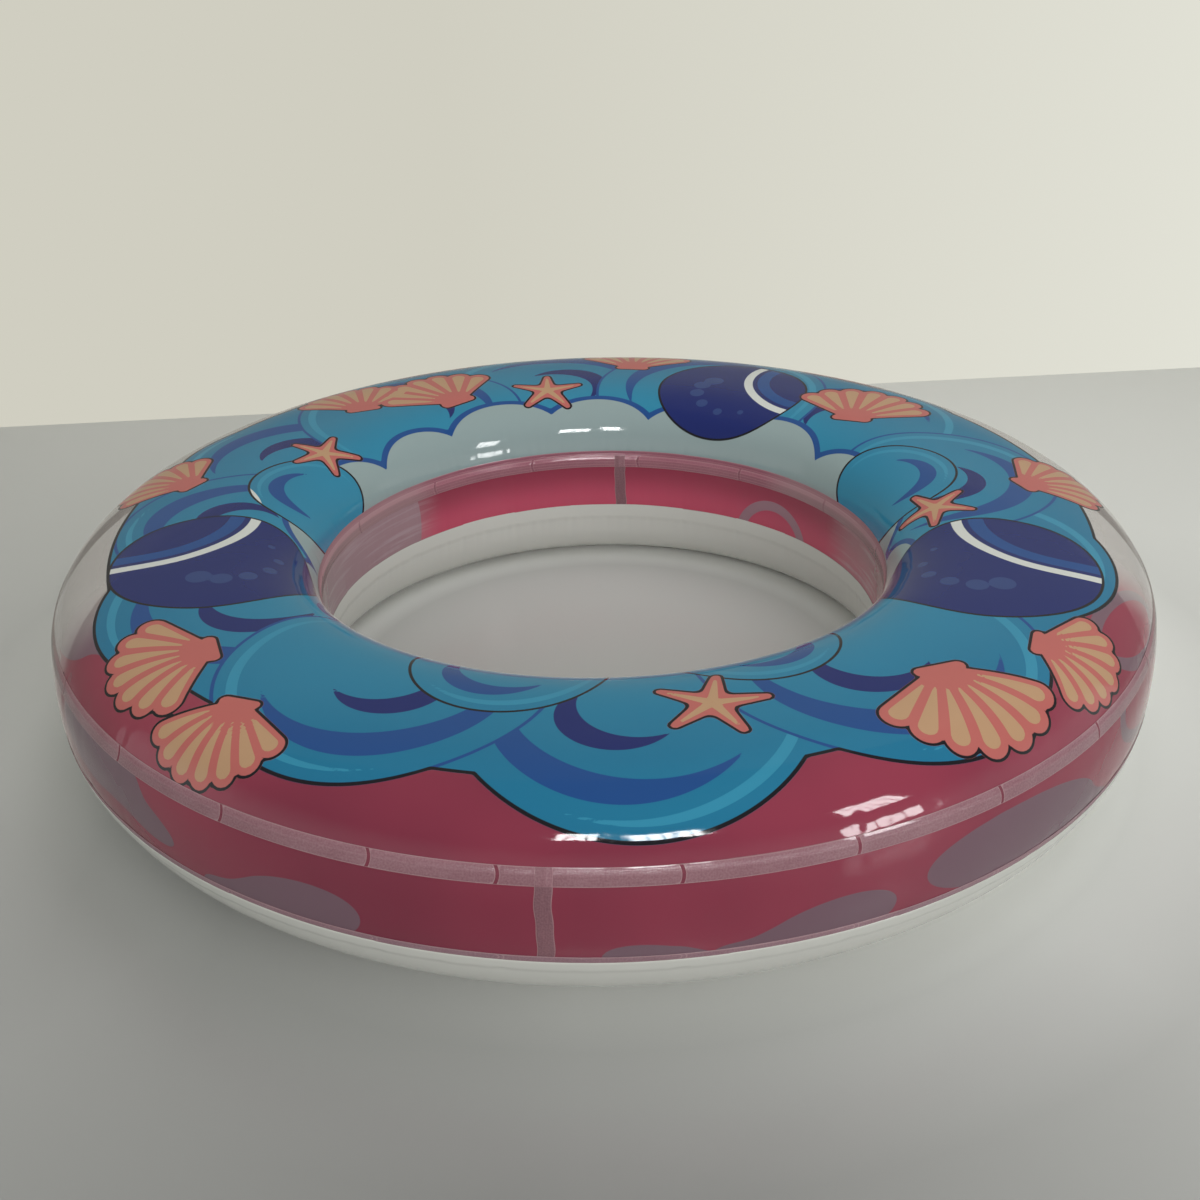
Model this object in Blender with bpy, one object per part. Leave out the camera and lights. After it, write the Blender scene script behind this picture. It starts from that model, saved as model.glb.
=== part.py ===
"""Large inflatable swim ring of welded vinyl film, with its screw valve.

The ring stands on z = 0 with its axis on Z. Its tube is made of four strips of film: a printed top
panel, two printed side bands and a white underside, which meet at four round welds. The two bands
are straight strips, so each has one upright weld where its ends meet. The valve sits on the white
underside at the back, where it can't be seen from the front.
"""

import math

import bmesh
import bpy
from mathutils import Matrix, Vector

# The inflated tube, in metres. Fullness is the exponent of the rounded section: 2 is an ellipse.
# The tube sags on its inner side, so the hole's wall drops almost straight to the floor.
RING_OUTER_RADIUS = 1.000
TUBE_WIDTH = 0.472
EQUATOR_HEIGHT = 0.192
CROWN_ABOVE_EQUATOR = 0.182
UPPER_FULLNESS = 3.0
LOWER_OUTER_FULLNESS = 2.2
LOWER_INNER_FULLNESS = 5.0
FLOOR_FLATTENING = 0.0015

# Film and welds. A weld lies over the two film edges that it joins.
FILM = 0.00045
WELD_THICKNESS = 0.0006
ROUND_WELD_WIDTH = 0.027
UPRIGHT_WELD_WIDTH = 0.024
CLEARANCE = 0.0003
FILM_EDGE_GAP = 0.0004

# How far each side band reaches above and below the tube's widest line, along the film.
OUTER_BAND_UP = 0.093
OUTER_BAND_DOWN = 0.047
INNER_BAND_UP = 0.050
INNER_BAND_DOWN = 0.068

# Where the bands' ends meet, in degrees round the ring from +X.
OUTER_JOINT_ANGLE = -95.0
INNER_JOINT_ANGLE = 85.0

# Facets: flat strips round the ring, the most that the section turns between two of them, and
# how many radians of turning a metre of flat film counts for.
HOOP_SEGMENTS = 72
MOST_TURN = math.radians(20.0)
EVEN_SPACING = 0.6
ROUND_SEGMENTS = 32

# The valve's place: degrees round the ring, and metres of film below the lower outer weld.
VALVE_ANGLE = 90.0
VALVE_BELOW_WELD = 0.080

# The valve base: a soft flange welded inside the film, and a threaded neck.
NECK_BORE_RADIUS = 0.0136
NECK_WALL = 0.0030
NECK_ABOVE_FILM = 0.0030
NECK_BELOW_FILM = 0.0130
NECK_HOLE_PLAY = 0.0005
FLANGE_RADIUS = 0.032
FLANGE_THICKNESS = 0.0012

# Threads, of the neck and of the cap alike.
THREAD_PITCH = 0.0025
THREAD_HEIGHT = 0.0010
THREAD_BASE = 0.0011
THREAD_CREST = 0.0006
THREAD_ROOT_SINK = 0.0003
THREAD_PLAY = 0.0004
THREAD_TURNS = 1.0
THREAD_FACETS = 16

# The insert, which screws into the neck and carries the cap, the tether and the flap.
INSERT_WALL = 0.0027
INSERT_BELOW_FILM = 0.0110
COLLAR_THICKNESS = 0.0022
COLLAR_OVERHANG = 0.0004
COLLAR_SCALLOP = 0.0007
SEAL_THICKNESS = 0.0010
SPIGOT_RADIUS = 0.0114
SPIGOT_HEIGHT = 0.0090
SPIDER_THICKNESS = 0.0012
SPIDER_INSET = 0.0002
SPOKE_WIDTH = 0.0020
HUB_RADIUS = 0.0032
HUB_HOLE_RADIUS = 0.0017

# The flap, a soft disc on a stem that lifts off its seat as air goes in.
FLAP_THICKNESS = 0.0008
FLAP_INSET = 0.0012
FLAP_LIFT = 0.0025
STEM_RADIUS = 0.0012
STEM_HEAD_RADIUS = 0.0023
STEM_HEAD_HEIGHT = 0.0015

# The cap, and the tether whose two loops lie under and round it.
CAP_WALL = 0.0019
CAP_TOP_THICKNESS = 0.0018
CAP_RIM_HEIGHT = 0.0033
CAP_RIM_REACH = 0.0018
CAP_LIP_REACH = 0.0012
CAP_RIB_DEPTH = 0.0006
CAP_TURNS = 1.5
TETHER_THICKNESS = 0.0014
TETHER_STRAP_THICKNESS = 0.0011
TETHER_LOOP_PLAY = 0.0005
TETHER_LOOP_WIDTH = 0.0029
TETHER_STRAP_WIDTH = 0.0060
TETHER_REACH = 0.0240
TETHER_FACETS = 10

# Levels up the valve's axis, from the outer face of the film.
NECK_OUTER_RADIUS = NECK_BORE_RADIUS + NECK_WALL
SEAL_BOTTOM = NECK_ABOVE_FILM + CLEARANCE
COLLAR_BOTTOM = SEAL_BOTTOM + SEAL_THICKNESS + CLEARANCE
COLLAR_TOP = COLLAR_BOTTOM + COLLAR_THICKNESS
COLLAR_RADIUS = NECK_OUTER_RADIUS + COLLAR_OVERHANG
LOWER_LOOP_BOTTOM = COLLAR_TOP + CLEARANCE
CAP_FOOT = LOWER_LOOP_BOTTOM + TETHER_THICKNESS + CLEARANCE
SPIGOT_TOP = COLLAR_TOP + SPIGOT_HEIGHT
CAP_SEAL_BOTTOM = SPIGOT_TOP + CLEARANCE
CAP_CEILING = CAP_SEAL_BOTTOM + SEAL_THICKNESS + CLEARANCE
CAP_TOP = CAP_CEILING + CAP_TOP_THICKNESS
GROOVE_TOP = CAP_TOP - CAP_RIM_HEIGHT
GROOVE_BOTTOM = GROOVE_TOP - TETHER_THICKNESS - 2 * CLEARANCE - CAP_TURNS * THREAD_PITCH
UPPER_LOOP_BOTTOM = GROOVE_TOP - CLEARANCE - TETHER_THICKNESS

# Radii that follow from the neck and the spigot.
PLUG_RADIUS = NECK_BORE_RADIUS - THREAD_HEIGHT - THREAD_PLAY
INSERT_BORE_RADIUS = PLUG_RADIUS - INSERT_WALL
CAP_BORE_RADIUS = SPIGOT_RADIUS + THREAD_HEIGHT + THREAD_PLAY
GROOVE_RADIUS = CAP_BORE_RADIUS + CAP_WALL

# Colours are linear. The look of each piece: colour, roughness, metallic.
FINISHES = {
    "printed_top_film": ((0.060, 0.330, 0.500), 0.16, 0.0),
    "printed_side_film": ((0.330, 0.030, 0.080), 0.16, 0.0),
    "white_film": ((0.600, 0.600, 0.570), 0.28, 0.0),
    "clear_weld": ((0.450, 0.190, 0.240), 0.42, 0.0),
    "white_weld": ((0.560, 0.560, 0.530), 0.34, 0.0),
    "valve_vinyl": ((0.620, 0.620, 0.600), 0.40, 0.0),
    "valve_nylon": ((0.700, 0.700, 0.690), 0.35, 0.0),
    "seal_rubber": ((0.030, 0.030, 0.032), 0.55, 0.0),
}


def clear_scene():
    """Removes whatever the open file holds."""
    for old in list(bpy.data.objects):
        bpy.data.objects.remove(old)


def material(finish):
    """Returns the Principled material of a named finish, made once."""
    found = bpy.data.materials.get(finish)
    if found:
        return found
    colour, roughness, metallic = FINISHES[finish]
    made = bpy.data.materials.new(finish)
    made.use_nodes = True
    shader = made.node_tree.nodes["Principled BSDF"]
    shader.inputs["Base Color"].default_value = (*colour, 1.0)
    shader.inputs["Roughness"].default_value = roughness
    shader.inputs["Metallic"].default_value = metallic
    made.diffuse_color = (*colour, 1.0)
    return made


def add_object(name, vertices, faces, finish=None, parent=None):
    """Makes a mesh object with its faces pointing out and its round surfaces shaded smooth."""
    mesh = bpy.data.meshes.new(name)
    mesh.from_pydata([tuple(v) for v in vertices], [], faces)
    edit = bmesh.new()
    edit.from_mesh(mesh)
    bmesh.ops.recalc_face_normals(edit, faces=edit.faces)
    edit.to_mesh(mesh)
    edit.free()
    mesh.shade_smooth()
    mesh.set_sharp_from_angle(angle=math.radians(35.0))
    made = bpy.data.objects.new(name, mesh)
    bpy.context.scene.collection.objects.link(made)
    made.parent = parent
    if finish:
        mesh.materials.append(material(finish))
    return made


class TubeSection:
    """The tube's section as a closed polyline, measured along the film from its outermost line up.

    Its corners fall on the weld's edges, so that a weld lies flat on the film that it joins.
    """

    FINE_STEPS = 4000

    def __init__(self):
        self.half_width = TUBE_WIDTH / 2
        self.centre = RING_OUTER_RADIUS - self.half_width
        self.fine = [self.smooth_point(2 * math.pi * k / self.FINE_STEPS)
                     for k in range(self.FINE_STEPS + 1)]
        self.fine_length = [0.0]
        for a, b in zip(self.fine, self.fine[1:]):
            self.fine_length.append(self.fine_length[-1] + (b - a).length)
        self.length = self.fine_length[-1]
        inner_equator = self.fine_length[self.FINE_STEPS // 2]
        self.seams = {
            "outer_top": OUTER_BAND_UP,
            "inner_top": inner_equator - INNER_BAND_UP,
            "inner_bottom": inner_equator + INNER_BAND_DOWN,
            "outer_bottom": self.length - OUTER_BAND_DOWN,
        }
        self.corners = self.corner_lengths()
        self.points = [self.smooth_at(s) for s in self.corners]
        self.mitres = [self.mitre(k) for k in range(len(self.points))]

    def smooth_point(self, angle):
        """Point of the rounded section at a parameter angle, as a vector of radius and height."""
        c, s = math.cos(angle), math.sin(angle)
        lower = LOWER_OUTER_FULLNESS if c >= 0 else LOWER_INNER_FULLNESS
        fullness = UPPER_FULLNESS if s >= 0 else lower
        reach = CROWN_ABOVE_EQUATOR if s >= 0 else EQUATOR_HEIGHT + FLOOR_FLATTENING
        across = math.copysign(abs(c) ** (2 / fullness), c) * self.half_width
        up = math.copysign(abs(s) ** (2 / fullness), s) * reach
        return Vector((self.centre + across, max(EQUATOR_HEIGHT + up, 0.0)))

    def smooth_at(self, s):
        """Point of the rounded section, s metres along the film."""
        s %= self.length
        low, high = 0, self.FINE_STEPS
        while high - low > 1:
            middle = (low + high) // 2
            if self.fine_length[middle] <= s:
                low = middle
            else:
                high = middle
        run = self.fine_length[high] - self.fine_length[low]
        share = (s - self.fine_length[low]) / run if run > 0 else 0.0
        return self.fine[low].lerp(self.fine[high], share)

    def heading(self, s):
        """Direction of the film at s, as an angle."""
        step = self.length / self.FINE_STEPS
        run = self.smooth_at(s + step) - self.smooth_at(s - step)
        return math.atan2(run.y, run.x)

    def floor_edges(self):
        """Both edges of the flat band that the ring stands on."""
        flat = [s for s, p in zip(self.fine_length, self.fine) if p.y <= 0.0]
        return [flat[0], flat[-1]]

    def corner_lengths(self):
        """Lengths of the polyline's corners: edges of welds and of the flat, and enough between."""
        half = ROUND_WELD_WIDTH / 2
        edges = sorted((s + side * half) for s in self.seams.values() for side in (-1, 1))
        edges += self.floor_edges()
        edges.sort()
        corners = []
        for start, end in zip(edges, edges[1:] + [edges[0] + self.length]):
            corners.append(start)
            samples = 200
            marks = [start + (end - start) * i / samples for i in range(samples + 1)]
            turned = [0.0]
            for a, b in zip(marks, marks[1:]):
                swing = self.heading(b) - self.heading(a)
                swing = abs((swing + math.pi) % (2 * math.pi) - math.pi)
                turned.append(turned[-1] + swing + EVEN_SPACING * (b - a))
            parts = math.ceil(turned[-1] / MOST_TURN)
            for part in range(1, parts):
                wanted = turned[-1] * part / parts
                corners.append(next(m for m, t in zip(marks, turned) if t >= wanted))
        return corners

    def mitre(self, k):
        """Offset of corner k for each metre that both its facets move outwards."""
        before = self.points[k] - self.points[k - 1]
        after = self.points[(k + 1) % len(self.points)] - self.points[k]
        normals = [Vector((d.y, -d.x)).normalized() for d in (before, after)]
        middle = (normals[0] + normals[1]).normalized()
        return middle / middle.dot(normals[0])

    def facet(self, s):
        """Index of the facet that holds s, and how far along it s lies, from 0 to 1."""
        first = self.corners[0]
        s = first + (s - first) % self.length
        ends = self.corners[1:] + [first + self.length]
        k = next(k for k, end in enumerate(ends) if s <= end)
        return k, (s - self.corners[k]) / (ends[k] - self.corners[k])

    def at(self, s, offset=0.0):
        """Point on the facets at s, moved outwards by an offset, as radius and height."""
        k, share = self.facet(s)
        nxt = (k + 1) % len(self.points)
        a = self.points[k] + self.mitres[k] * offset
        b = self.points[nxt] + self.mitres[nxt] * offset
        return a.lerp(b, share)

    def normal(self, s):
        """Outward direction of the facet that holds s."""
        k, _ = self.facet(s)
        run = self.points[(k + 1) % len(self.points)] - self.points[k]
        return Vector((run.y, -run.x)).normalized()

    def stations(self, start, end):
        """Lengths from start to end with every corner between them."""
        while end < start:
            end += self.length
        laps = [c + turn * self.length for turn in (-1, 0, 1) for c in self.corners]
        clear = CLEARANCE
        return [start] + sorted(c for c in laps if start + clear < c < end - clear) + [end]


def radial(degrees):
    """Unit vector away from the ring's axis."""
    return Vector((math.cos(math.radians(degrees)), math.sin(math.radians(degrees)), 0.0))


def sideways(degrees):
    """Unit vector round the ring."""
    return Vector((-math.sin(math.radians(degrees)), math.cos(math.radians(degrees)), 0.0))


# A ring's facets are flat, so the middle of one lies this share of the corner's radius out.
FACET_SHARE = math.cos(math.pi / HOOP_SEGMENTS)


def hoop_columns(joint_angle=None):
    """Places round the ring: direction, share of the radius, and shift sideways.

    The facets' middles fall on whole steps from +X. A band that is a strip starts and ends
    in the middle of the facet at joint_angle, with a narrow gap between its ends.
    """
    step = 360.0 / HOOP_SEGMENTS
    first = step / 2 if joint_angle is None else joint_angle + step / 2
    columns = [(first + step * k, 1.0, 0.0) for k in range(HOOP_SEGMENTS)]
    if joint_angle is not None:
        gap = FILM_EDGE_GAP / 2
        columns = [(joint_angle, FACET_SHARE, gap)] + columns + [(joint_angle, FACET_SHARE, -gap)]
    return columns


def place(column, point):
    """World point of a section point at one column."""
    angle, share, shift = column
    flat = radial(angle) * point.x * share + sideways(angle) * shift
    return Vector((flat.x, flat.y, point.y))


def strip_solid(name, outer, inner, columns, closed, finish):
    """Solid between two section lines, carried through the columns.

    Args:
        name: Name of the piece.
        outer: Points of its outer face in the section.
        inner: As many points of its inner face.
        columns: Places that the section is carried through.
        closed: True where the last column meets the first.
        finish: Name of its finish.

    Returns:
        The mesh object.
    """
    count = len(outer)
    loop = outer + inner[::-1]
    around = len(loop)
    vertices = [place(column, p) for column in columns for p in loop]
    faces = []
    steps = len(columns) if closed else len(columns) - 1
    for c in range(steps):
        here, there = c * around, ((c + 1) % len(columns)) * around
        for k in range(around):
            nxt = (k + 1) % around
            faces.append((here + k, here + nxt, there + nxt, there + k))
    if not closed:
        for base in (0, (len(columns) - 1) * around):
            for k in range(count - 1):
                faces.append((base + k, base + k + 1, base + around - 2 - k, base + around - 1 - k))
    return add_object(name, vertices, faces, finish)


def film_panel(name, section, start, end, finish, joint_angle=None):
    """A panel of film between two seams."""
    stations = section.stations(start, end)
    outer = [section.at(s) for s in stations]
    inner = [section.at(s, -FILM) for s in stations]
    columns = hoop_columns(joint_angle)
    return strip_solid(name, outer, inner, columns, joint_angle is None, finish)


def round_weld(name, section, seam, finish):
    """The fused lap that runs round the ring over one seam."""
    half = ROUND_WELD_WIDTH / 2
    stations = section.stations(section.seams[seam] - half, section.seams[seam] + half)
    inner = [section.at(s, CLEARANCE) for s in stations]
    outer = [section.at(s, CLEARANCE + WELD_THICKNESS) for s in stations]
    return strip_solid(name, outer, inner, hoop_columns(), True, finish)


def upright_weld(name, section, low_seam, high_seam, angle, finish):
    """The fused lap where a side band's ends meet, from one round weld to the other."""
    margin = ROUND_WELD_WIDTH / 2 + CLEARANCE
    low, high = section.seams[low_seam], section.seams[high_seam]
    start, end = (low + margin, high - margin)
    stations = section.stations(start, end)
    inner = [section.at(s, CLEARANCE) for s in stations]
    outer = [section.at(s, CLEARANCE + WELD_THICKNESS) for s in stations]
    half = UPRIGHT_WELD_WIDTH / 2
    columns = [(angle, FACET_SHARE, -half), (angle, FACET_SHARE, half)]
    return strip_solid(name, outer, inner, columns, False, finish)


def lathe(name, outline, finish=None, parent=None, segments=ROUND_SEGMENTS, ripple=None):
    """Turned solid round the valve's axis.

    Args:
        name: Name of the piece.
        outline: Corners of its closed half section, as radius and level.
        finish: Name of its finish.
        parent: Frame that carries it.
        segments: Facets round it.
        ripple: Corners that carry grips, how many grips go round, and how deep they are cut.

    Returns:
        The mesh object.
    """
    gripped, grips, depth = ripple or ((), 0, 0.0)
    vertices, rings = [], []
    for k, (radius, level) in enumerate(outline):
        ring = []
        for step in range(segments if radius > 0 else 1):
            angle = 2 * math.pi * step / segments
            r = radius
            if k in gripped:
                r -= depth * (0.5 - 0.5 * math.cos(grips * angle))
            ring.append(len(vertices))
            vertices.append((r * math.cos(angle), r * math.sin(angle), level))
        rings.append(ring * (segments if radius == 0 else 1))
    faces = []
    for a, b in zip(rings, rings[1:] + rings[:1]):
        for step in range(segments):
            nxt = (step + 1) % segments
            corners = dict.fromkeys((a[step], a[nxt], b[nxt], b[step]))
            if len(corners) > 2:
                faces.append(tuple(corners))
    return add_object(name, vertices, faces, finish, parent)


def thread_ridge(name, root_radius, inward, low, phase=0.0):
    """Helical ridge that sinks into its wall at both ends, for joining to a turned solid.

    Args:
        name: Name of the ridge.
        root_radius: Radius of the wall that it stands on.
        inward: True for a nut's thread, which points at the axis.
        low: Level of the ridge's middle where it starts.
        phase: Share of a turn by which it is shifted along the same helix.

    Returns:
        The mesh object.
    """
    side = -1.0 if inward else 1.0
    count = round(THREAD_TURNS * THREAD_FACETS)
    vertices, faces = [], []
    for k in range(count + 1):
        fade = min(k, count - k, 3) / 3
        height = THREAD_HEIGHT * fade - THREAD_ROOT_SINK / 2 * (1 - fade)
        angle = 2 * math.pi * k / THREAD_FACETS
        level = low + THREAD_PITCH * (k / THREAD_FACETS + phase)
        for reach, half in ((-THREAD_ROOT_SINK, THREAD_BASE / 2), (height, THREAD_CREST / 2)):
            radius = root_radius + side * reach
            for edge in (-half, half):
                vertices.append((radius * math.cos(angle), radius * math.sin(angle), level + edge))
    for k in range(count):
        a, b = 4 * k, 4 * (k + 1)
        for i, j in ((0, 1), (1, 3), (3, 2), (2, 0)):
            faces.append((a + i, a + j, b + j, b + i))
    last = 4 * count
    faces += [(0, 1, 3, 2), (last, last + 1, last + 3, last + 2)]
    return add_object(name, vertices, faces)


def box(name, low, high, turn=0.0):
    """Box between two corners, turned about the valve's axis by degrees."""
    corners = [Vector((x, y, z)) for x in (low[0], high[0]) for y in (low[1], high[1])
               for z in (low[2], high[2])]
    spin = Matrix.Rotation(math.radians(turn), 3, "Z")
    faces = [(0, 1, 3, 2), (4, 6, 7, 5), (0, 4, 5, 1), (2, 3, 7, 6), (0, 2, 6, 4), (1, 5, 7, 3)]
    return add_object(name, [spin @ c for c in corners], faces)


def combine(target, others, operation="UNION"):
    """Joins or cuts target with the others for good, and removes them."""
    bpy.context.view_layer.update()
    for other in others:
        other.parent = None
        other.matrix_world = target.matrix_world if operation == "UNION" else other.matrix_world
        modifier = target.modifiers.new(operation.title(), "BOOLEAN")
        modifier.operation = operation
        modifier.solver = "EXACT"
        modifier.object = other
        bpy.context.view_layer.update()
        result = bpy.data.meshes.new_from_object(
            target.evaluated_get(bpy.context.evaluated_depsgraph_get()))
        target.modifiers.clear()
        target.data = result
        bpy.data.objects.remove(other)
    return target


def valve_frame(section):
    """Empty on the film's outer face whose Z axis is the valve's axis, pointing out of the ring."""
    s = section.seams["outer_bottom"] - ROUND_WELD_WIDTH / 2 - VALVE_BELOW_WELD
    foot, normal = section.at(s), section.normal(s)
    column = (VALVE_ANGLE, FACET_SHARE, 0.0)
    z_axis = (radial(VALVE_ANGLE) * normal.x + Vector((0, 0, normal.y))).normalized()
    x_axis = sideways(VALVE_ANGLE)
    y_axis = z_axis.cross(x_axis)
    frame = bpy.data.objects.new("valve_frame", None)
    bpy.context.scene.collection.objects.link(frame)
    turned = Matrix((x_axis, y_axis, z_axis)).transposed().to_4x4()
    frame.matrix_world = Matrix.Translation(place(column, foot)) @ turned
    return frame, s


def make_flange(section, s_middle, frame):
    """Soft disc that lies against the inner face of the film and bends with it."""
    bpy.context.view_layer.update()
    to_frame = frame.matrix_world.inverted()
    radii = (NECK_OUTER_RADIUS - NECK_WALL / 2, (NECK_OUTER_RADIUS + FLANGE_RADIUS) / 2, FLANGE_RADIUS)
    depths = (-FILM - CLEARANCE, -FILM - CLEARANCE - FLANGE_THICKNESS)
    vertices, faces = [], []
    for depth in depths:
        for radius in radii:
            for k in range(ROUND_SEGMENTS):
                angle = 2 * math.pi * k / ROUND_SEGMENTS
                along, across = radius * math.sin(angle), radius * math.cos(angle)
                point = section.at(s_middle - along, depth)
                vertices.append(to_frame @ place((VALVE_ANGLE, FACET_SHARE, across), point))
    ring = ROUND_SEGMENTS
    rows = [0, 1, 2, 5, 4, 3]
    for a, b in zip(rows, rows[1:] + rows[:1]):
        for k in range(ring):
            nxt = (k + 1) % ring
            faces.append((a * ring + k, a * ring + nxt, b * ring + nxt, b * ring + k))
    return add_object("flange", vertices, faces, parent=frame)


def make_valve_base(section, s_middle, frame):
    """Flange and threaded neck in one moulding, welded inside the film."""
    neck = lathe("valve_base", [
        (NECK_BORE_RADIUS, -NECK_BELOW_FILM), (NECK_OUTER_RADIUS, -NECK_BELOW_FILM),
        (NECK_OUTER_RADIUS, NECK_ABOVE_FILM), (NECK_BORE_RADIUS, NECK_ABOVE_FILM),
    ], "valve_vinyl", frame)
    low = -INSERT_BELOW_FILM + THREAD_PITCH
    ridge = thread_ridge("neck_thread", NECK_BORE_RADIUS, True, low, 0.5)
    return combine(neck, [make_flange(section, s_middle, frame), ridge])


def cut_valve_hole(panel, frame):
    """Round hole in the film for the neck."""
    radius = NECK_OUTER_RADIUS + NECK_HOLE_PLAY
    depth = NECK_BELOW_FILM
    cutter = lathe("valve_hole", [(0, -depth), (radius, -depth), (radius, depth), (0, depth)])
    cutter.matrix_world = frame.matrix_world
    combine(panel, [cutter], "DIFFERENCE")


def make_insert(frame):
    """Screw-in insert: threaded plug, collar with finger scallops, spigot and the flap's spider."""
    body = lathe("valve_insert", [
        (INSERT_BORE_RADIUS, -INSERT_BELOW_FILM), (PLUG_RADIUS, -INSERT_BELOW_FILM),
        (PLUG_RADIUS, COLLAR_BOTTOM), (COLLAR_RADIUS, COLLAR_BOTTOM),
        (COLLAR_RADIUS, COLLAR_TOP), (SPIGOT_RADIUS, COLLAR_TOP),
        (SPIGOT_RADIUS, SPIGOT_TOP), (INSERT_BORE_RADIUS, SPIGOT_TOP),
    ], "valve_nylon", frame, ripple=((3, 4), 8, COLLAR_SCALLOP))
    low = -INSERT_BELOW_FILM + SPIDER_INSET
    high = low + SPIDER_THICKNESS
    hub_low, hub_high = low - SPIDER_INSET / 2, high + SPIDER_INSET
    hub = lathe("hub", [(HUB_HOLE_RADIUS, hub_low), (HUB_RADIUS, hub_low),
                        (HUB_RADIUS, hub_high), (HUB_HOLE_RADIUS, hub_high)], segments=24)
    inner = (HUB_HOLE_RADIUS + HUB_RADIUS) / 2
    outer = INSERT_BORE_RADIUS + INSERT_WALL / 3
    spokes = [box("spoke", (inner, -SPOKE_WIDTH / 2, low), (outer, SPOKE_WIDTH / 2, high), 90 * k + 45)
              for k in range(4)]
    plug_thread = thread_ridge("plug_thread", PLUG_RADIUS, False, -INSERT_BELOW_FILM + THREAD_PITCH)
    spigot_thread = thread_ridge("spigot_thread", SPIGOT_RADIUS, False, CAP_FOOT + THREAD_PITCH)
    return combine(body, [*spokes, hub, plug_thread, spigot_thread])


def make_seal(name, inner_radius, outer_radius, bottom, frame):
    """Flat rubber washer."""
    top = bottom + SEAL_THICKNESS
    return lathe(name, [(inner_radius, bottom), (outer_radius, bottom),
                        (outer_radius, top), (inner_radius, top)], "seal_rubber", frame)


def make_flap(frame):
    """Soft disc under the insert, with a stem through the spider and a head that holds it."""
    seat = -INSERT_BELOW_FILM - CLEARANCE
    hub_top = -INSERT_BELOW_FILM + SPIDER_THICKNESS + 2 * SPIDER_INSET
    head = hub_top + FLAP_LIFT + CLEARANCE
    rim = PLUG_RADIUS - FLAP_INSET
    tip = head + STEM_HEAD_HEIGHT
    return lathe("valve_flap", [
        (0, seat - FLAP_THICKNESS), (rim, seat - FLAP_THICKNESS), (rim, seat), (STEM_RADIUS, seat),
        (STEM_RADIUS, head), (STEM_HEAD_RADIUS, head), (STEM_RADIUS, tip), (0, tip),
    ], "seal_rubber", frame)


def make_cap(frame):
    """Screw cap with a ribbed rim and a groove for the tether."""
    rim, lip = GROOVE_RADIUS + CAP_RIM_REACH, GROOVE_RADIUS + CAP_LIP_REACH
    chamfer = CAP_TOP_THICKNESS / 3
    cap = lathe("valve_cap", [
        (CAP_BORE_RADIUS, CAP_FOOT), (lip, CAP_FOOT), (lip, GROOVE_BOTTOM),
        (GROOVE_RADIUS, GROOVE_BOTTOM), (GROOVE_RADIUS, GROOVE_TOP), (rim, GROOVE_TOP),
        (rim, CAP_TOP - chamfer), (rim - chamfer, CAP_TOP), (0, CAP_TOP),
        (0, CAP_CEILING), (CAP_BORE_RADIUS, CAP_CEILING),
    ], "valve_nylon", frame, segments=2 * ROUND_SEGMENTS, ripple=((5, 6), ROUND_SEGMENTS / 2, CAP_RIB_DEPTH))
    ridge = thread_ridge("cap_thread", CAP_BORE_RADIUS, True, CAP_FOOT + THREAD_PITCH, -0.5)
    return combine(cap, [ridge])


def make_tether(frame):
    """Two loops, one round the spigot and one in the cap's groove, joined by a folded strap."""
    middle = TETHER_THICKNESS / 2
    inner = SPIGOT_RADIUS + TETHER_LOOP_PLAY
    top_inner = GROOVE_RADIUS + TETHER_LOOP_PLAY
    loops = []
    for name, radius, low in (("valve_tether", inner, LOWER_LOOP_BOTTOM),
                              ("upper_loop", top_inner, UPPER_LOOP_BOTTOM)):
        wide, high = radius + TETHER_LOOP_WIDTH, low + TETHER_THICKNESS
        loops.append(lathe(name, [(radius, low), (wide, low), (wide, high), (radius, high)],
                           "valve_vinyl", frame))
    low, high = LOWER_LOOP_BOTTOM + middle, UPPER_LOOP_BOTTOM + middle
    bend = (high - low) / 2
    line = [Vector((inner + TETHER_LOOP_WIDTH / 2, low))]
    for k in range(TETHER_FACETS + 1):
        angle = math.pi * (k / TETHER_FACETS - 0.5)
        line.append(Vector((TETHER_REACH + bend * math.cos(angle), low + bend + bend * math.sin(angle))))
    line.append(Vector((top_inner + TETHER_LOOP_WIDTH / 2, high)))
    vertices, faces = [], []
    for k, point in enumerate(line):
        run = (line[min(k + 1, len(line) - 1)] - line[max(k - 1, 0)]).normalized()
        across = Vector((run.y, -run.x)) * TETHER_STRAP_THICKNESS / 2
        for side in (-1, 1):
            for edge in (-1, 1):
                q = point + across * side
                vertices.append((q.x, edge * TETHER_STRAP_WIDTH / 2, q.y))
    for k in range(len(line) - 1):
        a, b = 4 * k, 4 * (k + 1)
        for i, j in ((0, 1), (1, 3), (3, 2), (2, 0)):
            faces.append((a + i, a + j, b + j, b + i))
    last = 4 * (len(line) - 1)
    faces += [(0, 1, 3, 2), (last, last + 1, last + 3, last + 2)]
    strap = add_object("strap", vertices, faces)
    return combine(loops[0], [loops[1], strap])


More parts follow.
